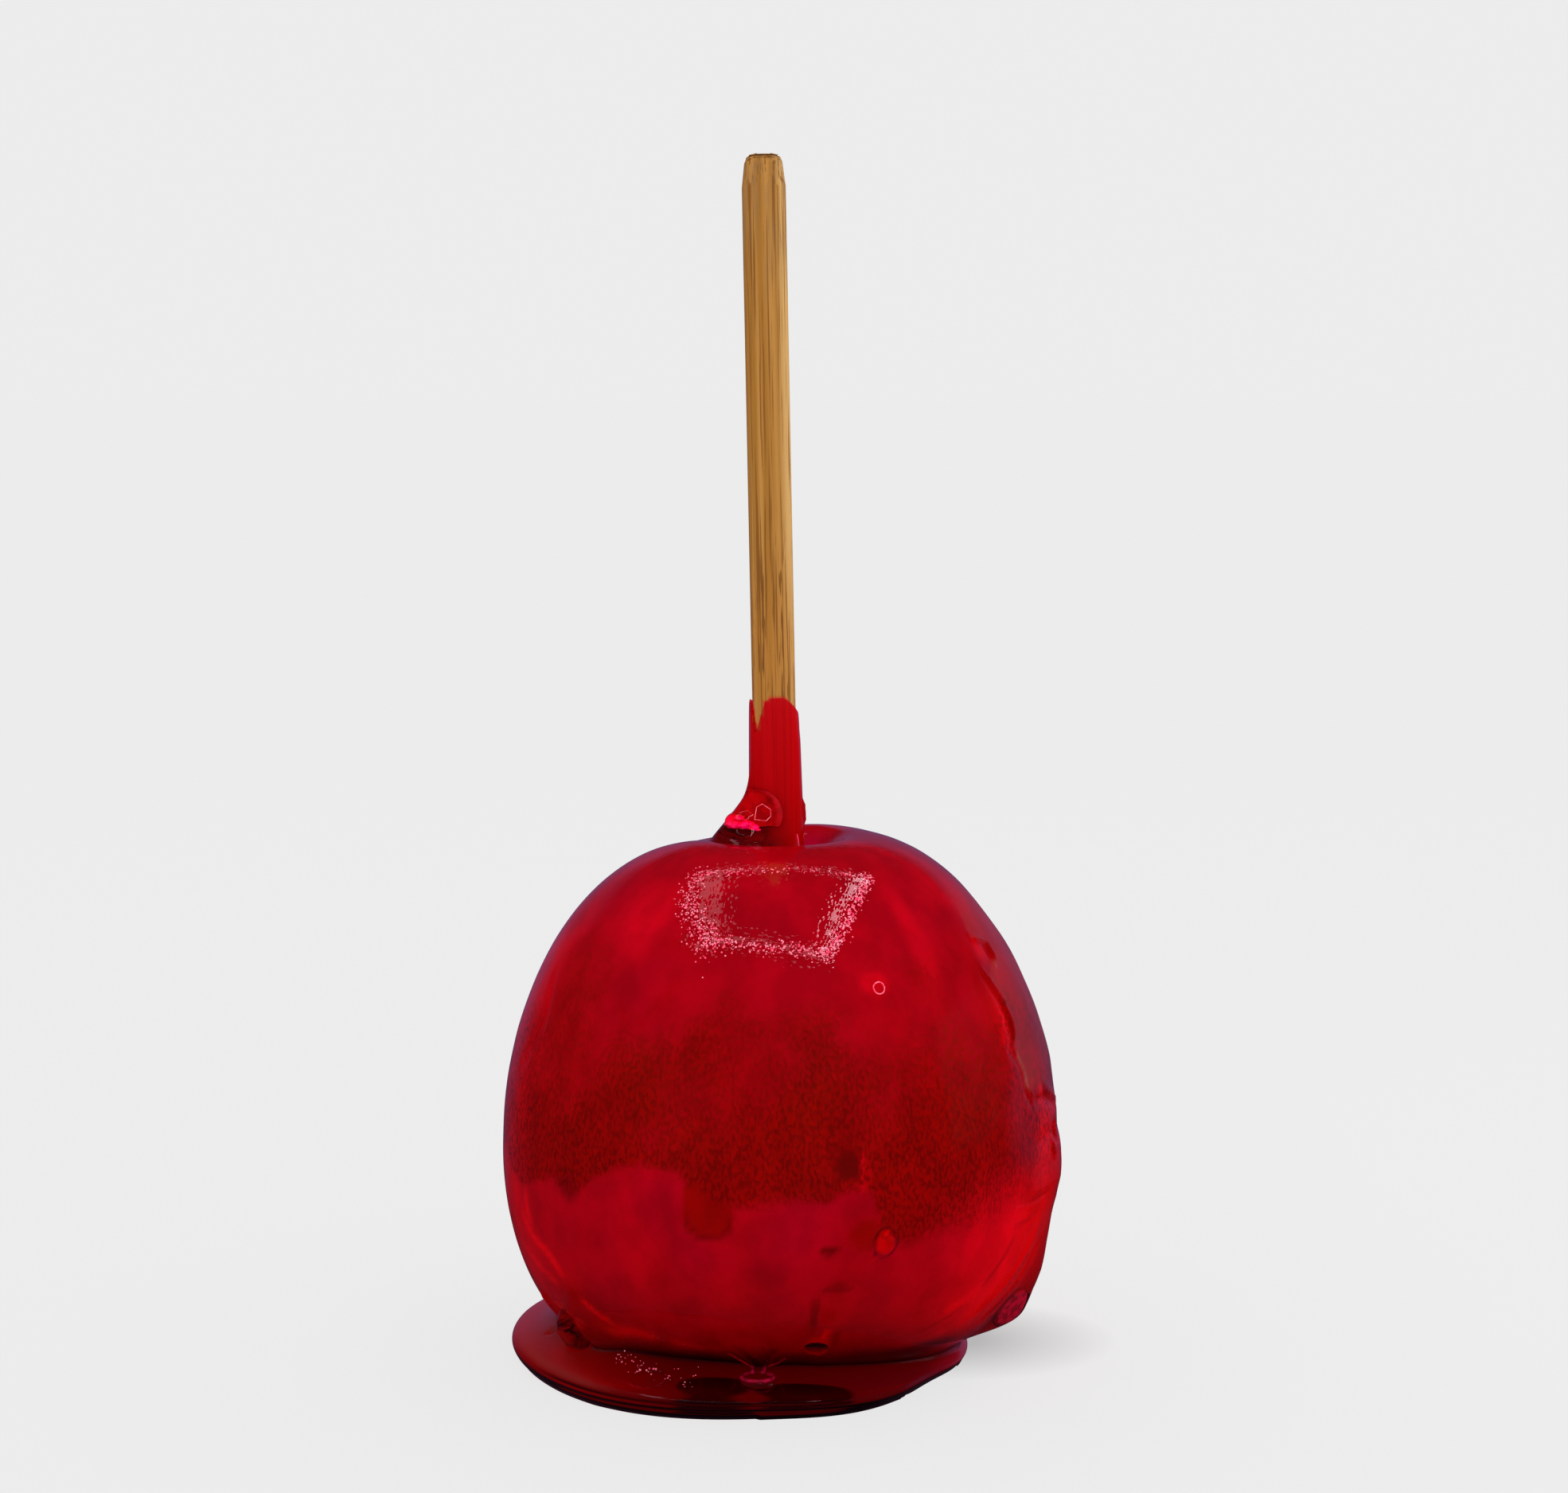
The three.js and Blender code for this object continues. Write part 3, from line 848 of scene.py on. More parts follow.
BLUSH = (0.50, 0.07, 0.50)
CHEEK = (0.34, 0.60, 0.01)
CRIMSON = (0.46, 0.05, 0.90)
DEEP = (0.22, 0.05, 0.40)
OLIVE = (0.13, 0.50, 0.03)
PALE = (0.98, 0.30, 0.98)
GLOWING = (0.97, 0.05, 0.98)
UNLIT = (0.07, 0.02, 0.05)

paint = np.tile(np.array(BLUSH), (len(places), 1))


def brush(colour, mask):
    """Paints a colour over what is there, as far as the mask says."""
    global paint
    mask = np.clip(mask, 0, 1)[:, None]
    paint = paint * (1 - mask) + np.array(colour) * mask


def streaks(colour, *rows):
    """Paints soft lines, each given by its width in mm, its strength and its corners."""
    for width, strength, *corners in rows:
        brush(colour, strength * soft_line(places, line_on(skin_of, at_side, *corners), width))


# %% [markdown]
# The lower part is crimson. A brown-green cheek runs round the middle, ragged at its top and with
# a clear wavy lower edge from which a tongue and a few islands hang.

# %% The cheek and its lower edge
EDGE_ANGLES = (0, 40, 80, 120, 160, 190, 204, 218, 224, 230, 235, 242, 250, 258, 263, 271, 280, 284, 289,
               291, 292.5, 299, 308, 318, 330, 345)
EDGE_HEIGHTS = (26, 31, 27, 32, 29, 31, 27.5, 30.5, 29, 31.5, 33.6, 35, 34, 30.5, 30, 31.2, 30.6, 32, 32,
                30.6, 24.8, 24.4, 25.6, 24, 23.2, 25)
SOFT_ANGLES = (204, 262, 268, 280, 292, 300, 345)
SOFTNESS = (0.5, 0.5, 1.8, 0.6, 0.8, 2.2, 3)

edge = np.interp(angle_of, EDGE_ANGLES, EDGE_HEIGHTS, period=360) + 0.5 * uneven(places, 3, seed=9)
low_down = 1 - fade(height_of, 30, 36)
brush(CRIMSON, 1 - fade(height_of, 28, 36))
brush(DEEP, 0.4 * low_down * fade(uneven(places, 9, seed=14, drawn_out=1.4), 0.0, 0.6))
brush(GLOWING, 0.18 * low_down * fade(uneven(places, 7, seed=15, drawn_out=1.4), 0.0, 0.6))
edge_soft = np.interp(angle_of, SOFT_ANGLES, SOFTNESS)
ragged = 52 + 14 * uneven(places, 11, seed=2) + 5 * uneven(places, 4, seed=4)
cheek = fade(height_of, edge - edge_soft, edge + edge_soft)
cheek *= 1 - fade(height_of, ragged - 14, ragged + 8)
cheek *= 1 - 0.15 * fade(uneven(places, 14, seed=12), 0.1, 0.5)
brush(CHEEK, cheek)
brush(CHEEK, patch(places, 256.5, 30, 3.3, 4.1, soft=0.12, power=3))
brush(OLIVE, 0.6 * np.exp(-(((oval_reach(places, 256.5, 30, 3.2, 4.0, 3) - 1) / 0.1) ** 2))
      * (1 - fade(height_of, 28, 31)))
brush(CHEEK, patch(places, 289.1, 26.0, 2.3, 2.0, soft=0.2))

# %% Spots in the skin, and painted light and shade under marks in the coat
BUBBLE_RIM_SHADE = (0.07, 0.03, 0.10)
BUBBLE_CORE_GLOW = (0.9, 0.4, 0.1)

brush(OLIVE, 0.9 * patch(places, 284.9, 35.2, 1.7, 1.8, soft=0.2, power=3))
brush(OLIVE, 0.85 * patch(places, 281.4, 24.1, 1.25, 0.75, soft=0.35))
# Painted light: a pale line under the seam in the coat.
streaks(PALE, (0.4, 0.45, (287.2, 37.1), (288.5, 34.2), (288.1, 31.2)))
# Painted shade and glow: a dark ring and a bright core under the ring bubble in the coat.
ring = np.exp(-(((oval_reach(places, 293.3, 24.6, 1.55, 1.85) - 1) / 0.22) ** 2))
brush(BUBBLE_RIM_SHADE, 0.85 * ring)
brush(BUBBLE_CORE_GLOW, 0.8 * patch(places, 293.3, 24.9, 0.8, 1.1))
brush(OLIVE, 0.5 * patch(places, 284, 18.6, 2.0, 0.7) + 0.5 * patch(places, 279.6, 15, 0.7, 2.4))
brush(DEEP, 0.5 * patch(places, 313.5, 18.7, 0.8, 1.6) + 0.5 * patch(places, 314.5, 16.3, 1.1, 0.8))
brush(DEEP, 0.6 * patch(places, 223.4, 29.7, 1.9, 1.7))

# %% [markdown]
# Low on both sides light comes in through the thick runs and makes the skin glow in long streaks
# that follow the flow. They are painted as pale lines, broad ones with thin dark ones between.

# %% Glowing streaks low on the right
turn_right = turns_from(0, places)
not_behind = 1 - fade(turn_right, 15, 40)
# Painted light: low on the right side, on the sheet above it and along the right edge the skin is painted
# bright.
lit_side = fade(turn_right, -62, -25) * not_behind * (1 - fade(height_of, 22, 34))
brush(CRIMSON, lit_side)
brush(GLOWING, 0.85 * lit_side)
lit_sheet = fade(turn_right, -40, -26) * not_behind * fade(height_of, 33, 40)
brush(GLOWING, 0.1 * lit_sheet)
right_edge = fade(turn_right, -24, -14) * not_behind
brush(GLOWING, right_edge * (1 - fade(height_of, 34, 40)))
streaks(
    PALE,
    (1.3, 1.0, (350, 33.5), (350.3, 29.5), (348.9, 26.1), (346.7, 22.5), (341, 20.5)),
    (1.3, 0.9, (341, 21.8), (337.7, 21.1), (335, 18.2), (332.3, 14), (322, 11.7)),
    (1.6, 0.8, (333.7, 19.3), (329.8, 13), (321.7, 8.9)),
    (1.2, 0.7, (326, 15.5), (320, 13.5), (313.8, 12.6)),
    (1.0, 0.6, (325, 10), (315, 8), (306, 7.5)),
)
streaks(
    DEEP,
    (0.35, 0.6, (346, 17), (342, 15.2), (336, 12)),
    (0.35, 0.5, (350, 13), (344, 11), (337, 8.5)),
    (0.4, 0.5, (333, 21.5), (329, 18), (324, 14.5)),
    (0.35, 0.45, (322, 13.4), (317, 11.4), (311, 10)),
)
# Painted glow beside the second layer's edge, higher up on the right.
brush(PALE, 0.6 * patch(places, 332.4, 50.5, 1.8, 3.8, soft=0.6))
streaks(PALE, (0.5, 0.9, (330.6, 52.9), (332.7, 50.9), (331.5, 48.8), (329.3, 46.7)))
brush(PALE, 0.7 * patch(places, 334.9, 59.1, 1.0, 1.4, soft=0.5))
brush(PALE, 0.9 * patch(places, 344.3, 38.7, 0.8, 1.7, soft=0.5))

# %% Glowing streaks low on the left
streaks(
    PALE,
    (0.7, 0.8, (206.0, 27.6), (205.8, 24.7), (207, 22)),
    (0.7, 0.9, (201.2, 24.9), (206, 21.1), (212, 19.2), (216.1, 15.5)),
    (0.7, 0.8, (196.2, 19.5), (205.3, 16.4), (213.3, 14.7)),
    (0.5, 0.9, (217.6, 14.1), (221.6, 11.8), (225.5, 10.6)),
    (1.1, 0.7, (217, 8.7), (229.8, 10), (237.5, 9.3)),
    (0.9, 0.4, (237.5, 9.3), (246, 8.6), (256, 8.4)),
)
# Painted light along the left edge.
left_edge = fade(angle_of, 165, 185) * (1 - fade(angle_of, 200, 212))
brush(GLOWING, left_edge * (0.4 - 0.1 * fade(height_of, 24, 32)) * (1 - fade(height_of, 56, 66)))
# Painted shade in the thick drop on the left, and a painted glow line beside it.
brush(DEEP, 0.7 * patch(places, 208.5, 10.7, 0.8, 1.0))
streaks(PALE, (0.4, 0.8, (213.3, 10.4), (211.8, 9.4), (210.3, 8.2)))

# %% Painted glow in the low drops, painted shade beside them and along two seams on the right
shade_beside_drops = (
    0.6 * patch(places, 286.6, 10.6, 0.5, 1.6, soft=0.5) + 0.5 * patch(places, 280, 13.6, 0.5, 2.2, soft=0.5)
)
brush(PALE, 0.6 * patch(places, 282.5, 9.7, 1.5, 1.1, soft=0.5))
streaks(PALE, (0.35, 1.0, (284.4, 12.3), (283.6, 11.3), (283.4, 10.3)))
brush(DEEP, shade_beside_drops)
brush(PALE, 0.7 * patch(places, 317.3, 5.3, 0.7, 0.3, soft=0.5))
# Painted shade along the two grooves of the coat on the right.
streaks(
    DEEP,
    (0.3, 0.45, (327.8, 26.1), (336, 25.4), (344, 25), (351.9, 25.1)),
    (0.3, 0.4, (325.8, 23.4), (332, 22.7), (338, 22.4), (344.4, 23.4)),
)
print("skin painted:", len(paint), "points")

# %% [markdown]
# Last come the large soft tones. The shoulders are crimson with paler and deeper clouds, the skin is
# darker under the highlight and beside it on the right, and the very bottom in front gets no light.

# %% Soft light and dark, low down and on the shoulders
brush(CRIMSON, 0.6 * fade(height_of, 56, 68) * (1 - patch(places, 268, 65, 17, 9, soft=0.5)))
# Painted shade: the very bottom in front is painted almost black.
brush(UNLIT, (1 - fade(height_of, 6.5, 9)) * fade(angle_of, 205, 230) * (1 - fade(angle_of, 320, 345)))
brush(DEEP, 0.3 * patch(places, 273, 67, 10, 4.5, soft=0.4))
brush(DEEP, 0.45 * fade(turn_right, -26, -18) * not_behind * fade(height_of, 50, 58))
shoulder = fade(height_of, 48, 56)
brush(PALE, 0.2 * shoulder * fade(uneven(places, 12, seed=6, drawn_out=2.5), 0.0, 0.5))
brush(DEEP, 0.25 * shoulder * fade(uneven(places, 10, seed=8, drawn_out=2), 0.05, 0.5))
brush(PALE, 0.35 * patch(places, 312, 61, 1.6, 6, soft=0.6) + 0.3 * patch(places, 229, 63, 3, 4, soft=0.6))
# Painted glow under the small ring bubble higher up.
brush(PALE, 0.6 * patch(places, BUBBLE_ANGLE, BUBBLE_HEIGHT, 1.8, 1.3, soft=0.5))
keep_values(apple, "paint", np.column_stack([paint, np.ones(len(paint))]), "FLOAT_COLOR", "color")
keep_values(apple, "cheek", np.clip(cheek, 0, 1) * (1 - lit_side))

# %% [markdown]
# ## Tiny bubbles at the surface
#
# On the upper front the sugar is full of tiny bubbles, which break its shine into beads. The mask
# says how strongly they show at each point of the toffee. A second mask holds how hazy the surface
# is: the second layer on the right and the foot, most of all at its left, have lost some gloss.

# %% Where the beads and the haze are
SHEET_HEIGHTS = (38.5, 41, 43, 45.3, 47.3, 51, 53.2, 56.1, 57.8, 58.6, 60.2, 61.4, 66)
SHEET_EDGE = (-23, -26, -26.4, -28.5, -28.8, -27.4, -28, -30.4, -26, -22.5, -23, -29, -24)

places = points_of(toffee)
height_of = places[:, 2] / MM
turn_right = turns_from(0, places)
beads = 0.65 * patch(places, 274, 66, 22, 9, soft=0.3, power=3)
beads = np.maximum(beads, patch(places, 250, 66, 7, 9, soft=0.5))
keep_values(toffee, "beads", beads)
hazy_foot = np.maximum(0.3, fade(-places[:, 0] / MM, 14, 27))
hazy_foot *= 1 - fade(height_of, 5, 6)
hazy_foot *= fade(height_of, 2, 3.4)
sheet_edge = np.interp(height_of, SHEET_HEIGHTS, SHEET_EDGE)
hazy_sheet = fade(turn_right, sheet_edge, sheet_edge + 1.2) * (1 - fade(turn_right, -4, 24))
hazy_sheet *= fade(height_of, 39.5, 41) * (1 - fade(height_of, 63, 70))
keep_values(toffee, "haze", np.maximum(hazy_foot, hazy_sheet))

# %% [markdown]
# ## Finishes


# %% Helpers for materials
def new_material(name):
    """A material with an empty node tree, its Principled shader and its output."""
    material = bpy.data.materials.new(name)
    material.use_nodes = True
    nodes = material.node_tree.nodes
    shader = next(n for n in nodes if n.type == "BSDF_PRINCIPLED")
    output = next(n for n in nodes if n.type == "OUTPUT_MATERIAL")
    return material, nodes, material.node_tree.links, shader, output


def kept(nodes, name, output="Fac"):
    """The output of a node that reads a stored value."""
    reader = nodes.new("ShaderNodeAttribute")
    reader.attribute_name = name
    return reader.outputs[output]


def feed(links, socket, value):
    """Gives a socket a plain value, or a link when the value is itself a socket."""
    if isinstance(value, bpy.types.NodeSocket):
        links.new(value, socket)
    else:
        socket.default_value = value


def mixed(nodes, links, share, first, second, kind="MIX"):
    """A colour mix. Each of its inputs is a socket or a plain colour."""
    mixer = nodes.new("ShaderNodeMix")
    mixer.data_type = "RGBA"
    mixer.blend_type = kind
    feed(links, mixer.inputs["Factor"], share)
    feed(links, mixer.inputs[6], first)
    feed(links, mixer.inputs[7], second)
    return mixer.outputs[2]


def ramp(nodes, links, value, start, end, low=0.0, high=1.0):
    """A value taken from one range to another, held at both ends."""
    ranger = nodes.new("ShaderNodeMapRange")
    ranger.inputs["From Min"].default_value = start
    ranger.inputs["From Max"].default_value = end
    ranger.inputs["To Min"].default_value = low
    ranger.inputs["To Max"].default_value = high
    links.new(value, ranger.inputs["Value"])
    return ranger.outputs["Result"]


def combined(nodes, links, kind, first, second):
    """Two values put together by a Math node of that kind."""
    joiner = nodes.new("ShaderNodeMath")
    joiner.operation = kind
    for socket, value in zip(joiner.inputs, (first, second)):
        feed(links, socket, value)
    return joiner.outputs[0]


def figure(nodes, links, where, scale, stretch=(1, 1, 1), detail=2.0):
    """Noise on given places, stretched along the axes."""
    turned = nodes.new("ShaderNodeMapping")
    turned.inputs["Scale"].default_value = stretch
    texture = nodes.new("ShaderNodeTexNoise")
    texture.inputs["Scale"].default_value = scale
    texture.inputs["Detail"].default_value = detail
    links.new(where, turned.inputs["Vector"])
    links.new(turned.outputs["Vector"], texture.inputs["Vector"])
    return texture.outputs["Fac"]


def bump_by(nodes, links, shader, height, depth, strength):
    """Bumps a shader's surface by a value, over a depth in mm."""
    bump = nodes.new("ShaderNodeBump")
    bump.inputs["Strength"].default_value = strength
    bump.inputs["Distance"].default_value = depth * MM
    links.new(height, bump.inputs["Height"])
    links.new(bump.outputs["Normal"], shader.inputs["Normal"])


def one_or_other(nodes, links, output, share, first, second):
    """Sends one of two shaders to the output's surface, as a mask says."""
    choice = nodes.new("ShaderNodeMixShader")
    for socket, value in zip(choice.inputs, (share, first, second)):
        links.new(value, socket)
    links.new(choice.outputs["Shader"], output.inputs["Surface"])


# %% [markdown]
# ### Bamboo
#
# Split bamboo is a pale straw colour with darker fibres, hair-thin and centimetres long, and broad
# soft bands of tone. The pattern reads the bar's straight places, in millimetres, so that it runs
# along the leaning stick. Near the toffee there is a joint of the cane with short, strong marks.

# %% Bamboo
STRAW, PALE_STRAW = (0.30, 0.125, 0.012, 1), (0.40, 0.185, 0.035, 1)
LIT_RIGHT_CORNER = (0.47, 0.27, 0.085, 1)
LOWER_PART = (0.36, 0.14, 0.015, 1)
FIBRE = (0.19, 0.065, 0.003, 1)
JOINT_MARK = (0.17, 0.06, 0.004, 1)
SMUDGE = (0.2, 0.11, 0.05, 1)
SYRUP, DARK_SYRUP = (0.46, 0.004, 0.004, 1), (0.4, 0.002, 0.003, 1)

bamboo, nodes, links, shader, output = new_material("bamboo")
bar = kept(nodes, "bar", "Vector")
sides = nodes.new("ShaderNodeSeparateXYZ")
links.new(bar, sides.inputs["Vector"])
bands = figure(nodes, links, bar, 0.9, (1, 1, 0.02), 1.0)
fibres = figure(nodes, links, bar, 3.4, (1, 1, 0.012), 3.0)
short = figure(nodes, links, bar, 2.6, (1, 1, 0.05), 2.0)
up = sides.outputs["Z"]
wood = mixed(nodes, links, ramp(nodes, links, bands, 0.38, 0.62), STRAW, PALE_STRAW)
# Painted light: the bar's right corner is painted paler, as if light fell on it from the right.
wood = mixed(nodes, links, ramp(nodes, links, sides.outputs["X"], 1.2, 2.2), wood, LIT_RIGHT_CORNER)
wood = mixed(nodes, links, ramp(nodes, links, up, 115, 100, 0, 0.5), wood, LOWER_PART)
wood = mixed(nodes, links, ramp(nodes, links, fibres, 0.55, 0.6, 0, 0.9), wood, FIBRE)
marks = combined(
    nodes, links, "MULTIPLY", ramp(nodes, links, up, 118, 108), ramp(nodes, links, short, 0.58, 0.64)
)
wood = mixed(nodes, links, marks, wood, JOINT_MARK)
smudge = combined(
    nodes, links, "MULTIPLY", ramp(nodes, links, up, 146, 156, 0, 0.6), ramp(nodes, links, short, 0.45, 0.7)
)
wood = mixed(nodes, links, smudge, wood, SMUDGE)
soaked_wood = mixed(nodes, links, ramp(nodes, links, fibres, 0.45, 0.6), SYRUP, DARK_SYRUP)
wood = mixed(nodes, links, kept(nodes, "soaked"), wood, soaked_wood)
links.new(wood, shader.inputs["Base Color"])
shader.inputs["Roughness"].default_value = 0.55
shader.inputs["Specular IOR Level"].default_value = 0.2
bump_by(nodes, links, shader, fibres, depth=0.05, strength=0.5)
stick.data.materials.append(bamboo)

# %% [markdown]
# ### Apple skin
#
# The painted colours get the fine unevenness that a brush doesn't give: short upright flecks of
# green in the cheek, and a soft mottle everywhere. Skin under toffee has no shine of its own.

# %% Apple skin
FLECK = (0.14, 0.62, 0.02, 1)
MOTTLE = (0.65, 0.7, 0.65, 1)

skin, nodes, links, shader, output = new_material("apple_skin")
where = nodes.new("ShaderNodeTexCoord").outputs["Object"]
flecks = figure(nodes, links, where, 2600, (1, 1, 0.5), 3.0)
mottle = figure(nodes, links, where, 260, (1, 1, 0.7), 6.0)
fleck_share = combined(
    nodes, links, "MULTIPLY", kept(nodes, "cheek"), ramp(nodes, links, flecks, 0.42, 0.6, 0, 0.75)
)
mottle_share = ramp(nodes, links, mottle, 0.4, 0.62, 0, 0.5)
colour = mixed(nodes, links, fleck_share, kept(nodes, "paint", "Color"), FLECK)
colour = mixed(nodes, links, mottle_share, colour, MOTTLE, "MULTIPLY")
links.new(colour, shader.inputs["Base Color"])
shader.inputs["Roughness"].default_value = 0.5
shader.inputs["Specular IOR Level"].default_value = 0.0
apple.data.materials.append(skin)

# %% [markdown]
# ### Clear red toffee
#
# Toffee is glass with a red dye all through it, so the colour is an absorption in its volume: a thin
# film stays bright, and the thick foot turns deep red. The shine is broken by beads where there are
# bubbles. Light on its way to the apple goes straight through, which keeps the picture clean.

# %% Clear red toffee
glassy, nodes, links, shader, output = new_material("clear_red_toffee")
shader.inputs["Base Color"].default_value = (1.0, 0.97, 0.97, 1)
shader.inputs["IOR"].default_value = 1.5
shader.inputs["Transmission Weight"].default_value = 1.0
depth = nodes.new("ShaderNodeVolumeAbsorption")
depth.inputs["Color"].default_value = (0.94, 0.0, 0.28, 1)
depth.inputs["Density"].default_value = 1700
links.new(depth.outputs["Volume"], output.inputs["Volume"])
where = nodes.new("ShaderNodeTexCoord").outputs["Object"]
cells = nodes.new("ShaderNodeTexVoronoi")
cells.feature = "F1"
cells.inputs["Scale"].default_value = 1350
links.new(where, cells.inputs["Vector"])
domes = ramp(nodes, links, cells.outputs["Distance"], 0, 0.55, 1, 0)
raised = combined(nodes, links, "MULTIPLY", domes, kept(nodes, "beads"))
bump_by(nodes, links, shader, raised, depth=0.035, strength=1.0)
links.new(ramp(nodes, links, kept(nodes, "haze"), 0, 1, 0.03, 0.25), shader.inputs["Roughness"])
path = nodes.new("ShaderNodeLightPath")
either = combined(nodes, links, "MAXIMUM", path.outputs["Is Shadow Ray"], path.outputs["Is Diffuse Ray"])
straight_through = nodes.new("ShaderNodeBsdfTransparent")
one_or_other(nodes, links, output, either, shader.outputs["BSDF"], straight_through.outputs["BSDF"])
toffee.data.materials.append(glassy)

# %% [markdown]
# The pieces inside the toffee are matt, because they are sugar full of air. Only their colours and
# the fineness of their specks differ.


# %% Cloudy sugar and froth
def clouded(name, darker, lighter, scale):
    """A matt sugar finish that changes softly between two colours."""
    material, nodes, links, shader, output = new_material(name)
    specks = figure(nodes, links, nodes.new("ShaderNodeTexCoord").outputs["Object"], scale)
    blend = mixed(nodes, links, ramp(nodes, links, specks, 0.4, 0.6), (*darker, 1), (*lighter, 1))
    links.new(blend, shader.inputs["Base Color"])
    shader.inputs["Roughness"].default_value = 0.4
    shader.inputs["Specular IOR Level"].default_value = 0.1
    return material


froth.data.materials.append(clouded("froth", (0.8, 0.0, 0.03), (1.0, 0.0, 0.13), 1600))
burst.data.materials.append(clouded("froth_rim", (0.95, 0.06, 0.12), (1.0, 0.28, 0.38), 2500))
cloud.data.materials.append(clouded("cloudy_sugar", (0.34, 0.001, 0.005), (0.5, 0.002, 0.01), 700))
drip.data.materials.append(clouded("cloudy_drip", (0.16, 0.0, 0.01), (0.36, 0.0, 0.03), 900))
# The fine bubbles' pale pink is painted highlight: it stands for the highlight's sparkle.
fine.data.materials.append(clouded("fine_bubbles_painted_sparkle", (1.0, 0.12, 0.25), (1.0, 0.5, 0.6), 1500))

# %% What each piece stands for
for piece, node, slot in (
    (stick, "stick", "bamboo"),
    (apple, "apple", "apple_skin"),
    (toffee, "toffee", "toffee"),
):
    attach(piece, "root")
    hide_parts(node)
for piece in (cloud, froth, burst, drip, fine):
    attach(piece, "root")

# %% [markdown]
# ## The studio
#
# The floor and the room are one pale grey, so that only a soft shadow tells where the floor is.
# What the gloss mirrors is set apart from what lights the sweet: a dark room with a dim mauve glow
# low behind it, which gives the toffee its cool rims, and a square frame of lamps overhead.
#
# The floor glows by itself, evenly where the camera sees it and less in an oval beside the foot:
# a shadow painted into the floor there, deeper than the weak one that the sweet casts itself.

# %% Floor
BACKDROP = 0.84
ROOM_LIGHT = 1.22
FLOOR_SHARE = 0.08
FLOOR_LIGHT = 1.25
PAINTED_SHADOW_DARK = 0.3
PAINTED_SHADOW_OVAL = (25, 3, 14, 11)
FLOOR_BOUNCE = 0.4
FLOOR_UP = 0.02 * MM
DARK_ROOM = (0.03, 0.012, 0.022, 1)
SIDE_GLOW = (0.12, 0.077, 0.18, 1)


def grey(value):
    return value, value, value, 1


def mirrored_rays(nodes, links):
    """A mask of the rays that a gloss reflects from outside, and not of those within the sugar."""
    path = nodes.new("ShaderNodeLightPath").outputs
    outside = combined(nodes, links, "LESS_THAN", path["Transmission Depth"], 0.5)
    reflected = combined(nodes, links, "MULTIPLY", path["Is Glossy Ray"], path["Is Reflection Ray"])
    return combined(nodes, links, "MULTIPLY", reflected, outside)


def oval_on_floor(nodes, links, x, y, wide, deep, soft=0.08):
    """A mask that is 1 in an oval on the floor. Sizes are halves, all in mm."""
    centred = nodes.new("ShaderNodeVectorMath")
    centred.operation = "SUBTRACT"
    centred.inputs[1].default_value = (x * MM, y * MM, 0)
    links.new(nodes.new("ShaderNodeTexCoord").outputs["Object"], centred.inputs[0])
    scaled = nodes.new("ShaderNodeVectorMath")
    scaled.operation = "MULTIPLY"
    scaled.inputs[1].default_value = (1 / (wide * MM), 1 / (deep * MM), 0)
    links.new(centred.outputs["Vector"], scaled.inputs[0])
    reach = nodes.new("ShaderNodeVectorMath")
    reach.operation = "LENGTH"
    links.new(scaled.outputs["Vector"], reach.inputs[0])
    return ramp(nodes, links, reach.outputs["Value"], 1 + soft, 1 - soft)


bpy.ops.object.select_all(action="DESELECT")
bpy.ops.mesh.primitive_plane_add(size=60, location=(0, 0, 0))
floor = bpy.context.object
floor.name = "studio_floor"
put_points(floor, points_of(floor) + np.array([0, 0, FLOOR_UP]))
pale, nodes, links, shader, output = new_material("pale_floor")
shader.inputs["Roughness"].default_value = 0.9
shader.inputs["Specular IOR Level"].default_value = 0.0
shader.inputs["Emission Color"].default_value = (1, 1, 1, 1)
path = nodes.new("ShaderNodeLightPath")
seen = path.outputs["Is Camera Ray"]
on_floor = nodes.new("ShaderNodeTexCoord").outputs["Object"]
from_middle = nodes.new("ShaderNodeVectorMath")
from_middle.operation = "LENGTH"
links.new(on_floor, from_middle.inputs[0])
radius = from_middle.outputs["Value"]
# Painted shadow: an oval on the right of the foot glows less.
painted_shadow = oval_on_floor(nodes, links, *PAINTED_SHADOW_OVAL, soft=0.7)
open_glow = BACKDROP - FLOOR_SHARE * FLOOR_LIGHT
glow_seen = ramp(nodes, links, painted_shadow, 0, 1, open_glow, open_glow - PAINTED_SHADOW_DARK)

# %% [markdown]
# Under the foot the floor is seen through the red sugar. Its glow there is painted light: it is
# brighter at the sides and at the foot's rim, as if light came in there. Two ovals in front are
# painted shade, where that glow is taken away. Each light is a row of two places in metres and the
# brightness at each of them.
# The floor isn't counted among the lamps, so that every ray reads its own brightness from it.

# %% The floor as it is seen through the foot
LEFT_LIGHT = (-0.012, -0.03, 0.1, 0.27)
RIGHT_LIGHT = (0.016, 0.028, 0, 0.3)
RIM_LIGHT = (0.0295, 0.032, 0, 0.25)
OTHER_RAYS = 0.4
PAINTED_SHADE_LEFT = (-8.0, -25.0, 5.2, 3.2)
PAINTED_SHADE_RIGHT = (3.6, -26.0, 6.6, 2.4)
UNDER_SHARE, OPEN_SHARE = 0.06, 0.7

side = nodes.new("ShaderNodeSeparateXYZ")
links.new(on_floor, side.inputs["Vector"])
across = side.outputs["X"]
# Painted light: the floor under the foot glows at the sides and at the rim.
under = ramp(nodes, links, across, *LEFT_LIGHT)
under = combined(nodes, links, "MAXIMUM", under, ramp(nodes, links, across, *RIGHT_LIGHT))
under = combined(nodes, links, "MAXIMUM", under, ramp(nodes, links, radius, *RIM_LIGHT))
through = ramp(nodes, links, path.outputs["Is Transmission Ray"], 0, 1, OTHER_RAYS)
under = combined(nodes, links, "MULTIPLY", under, through)
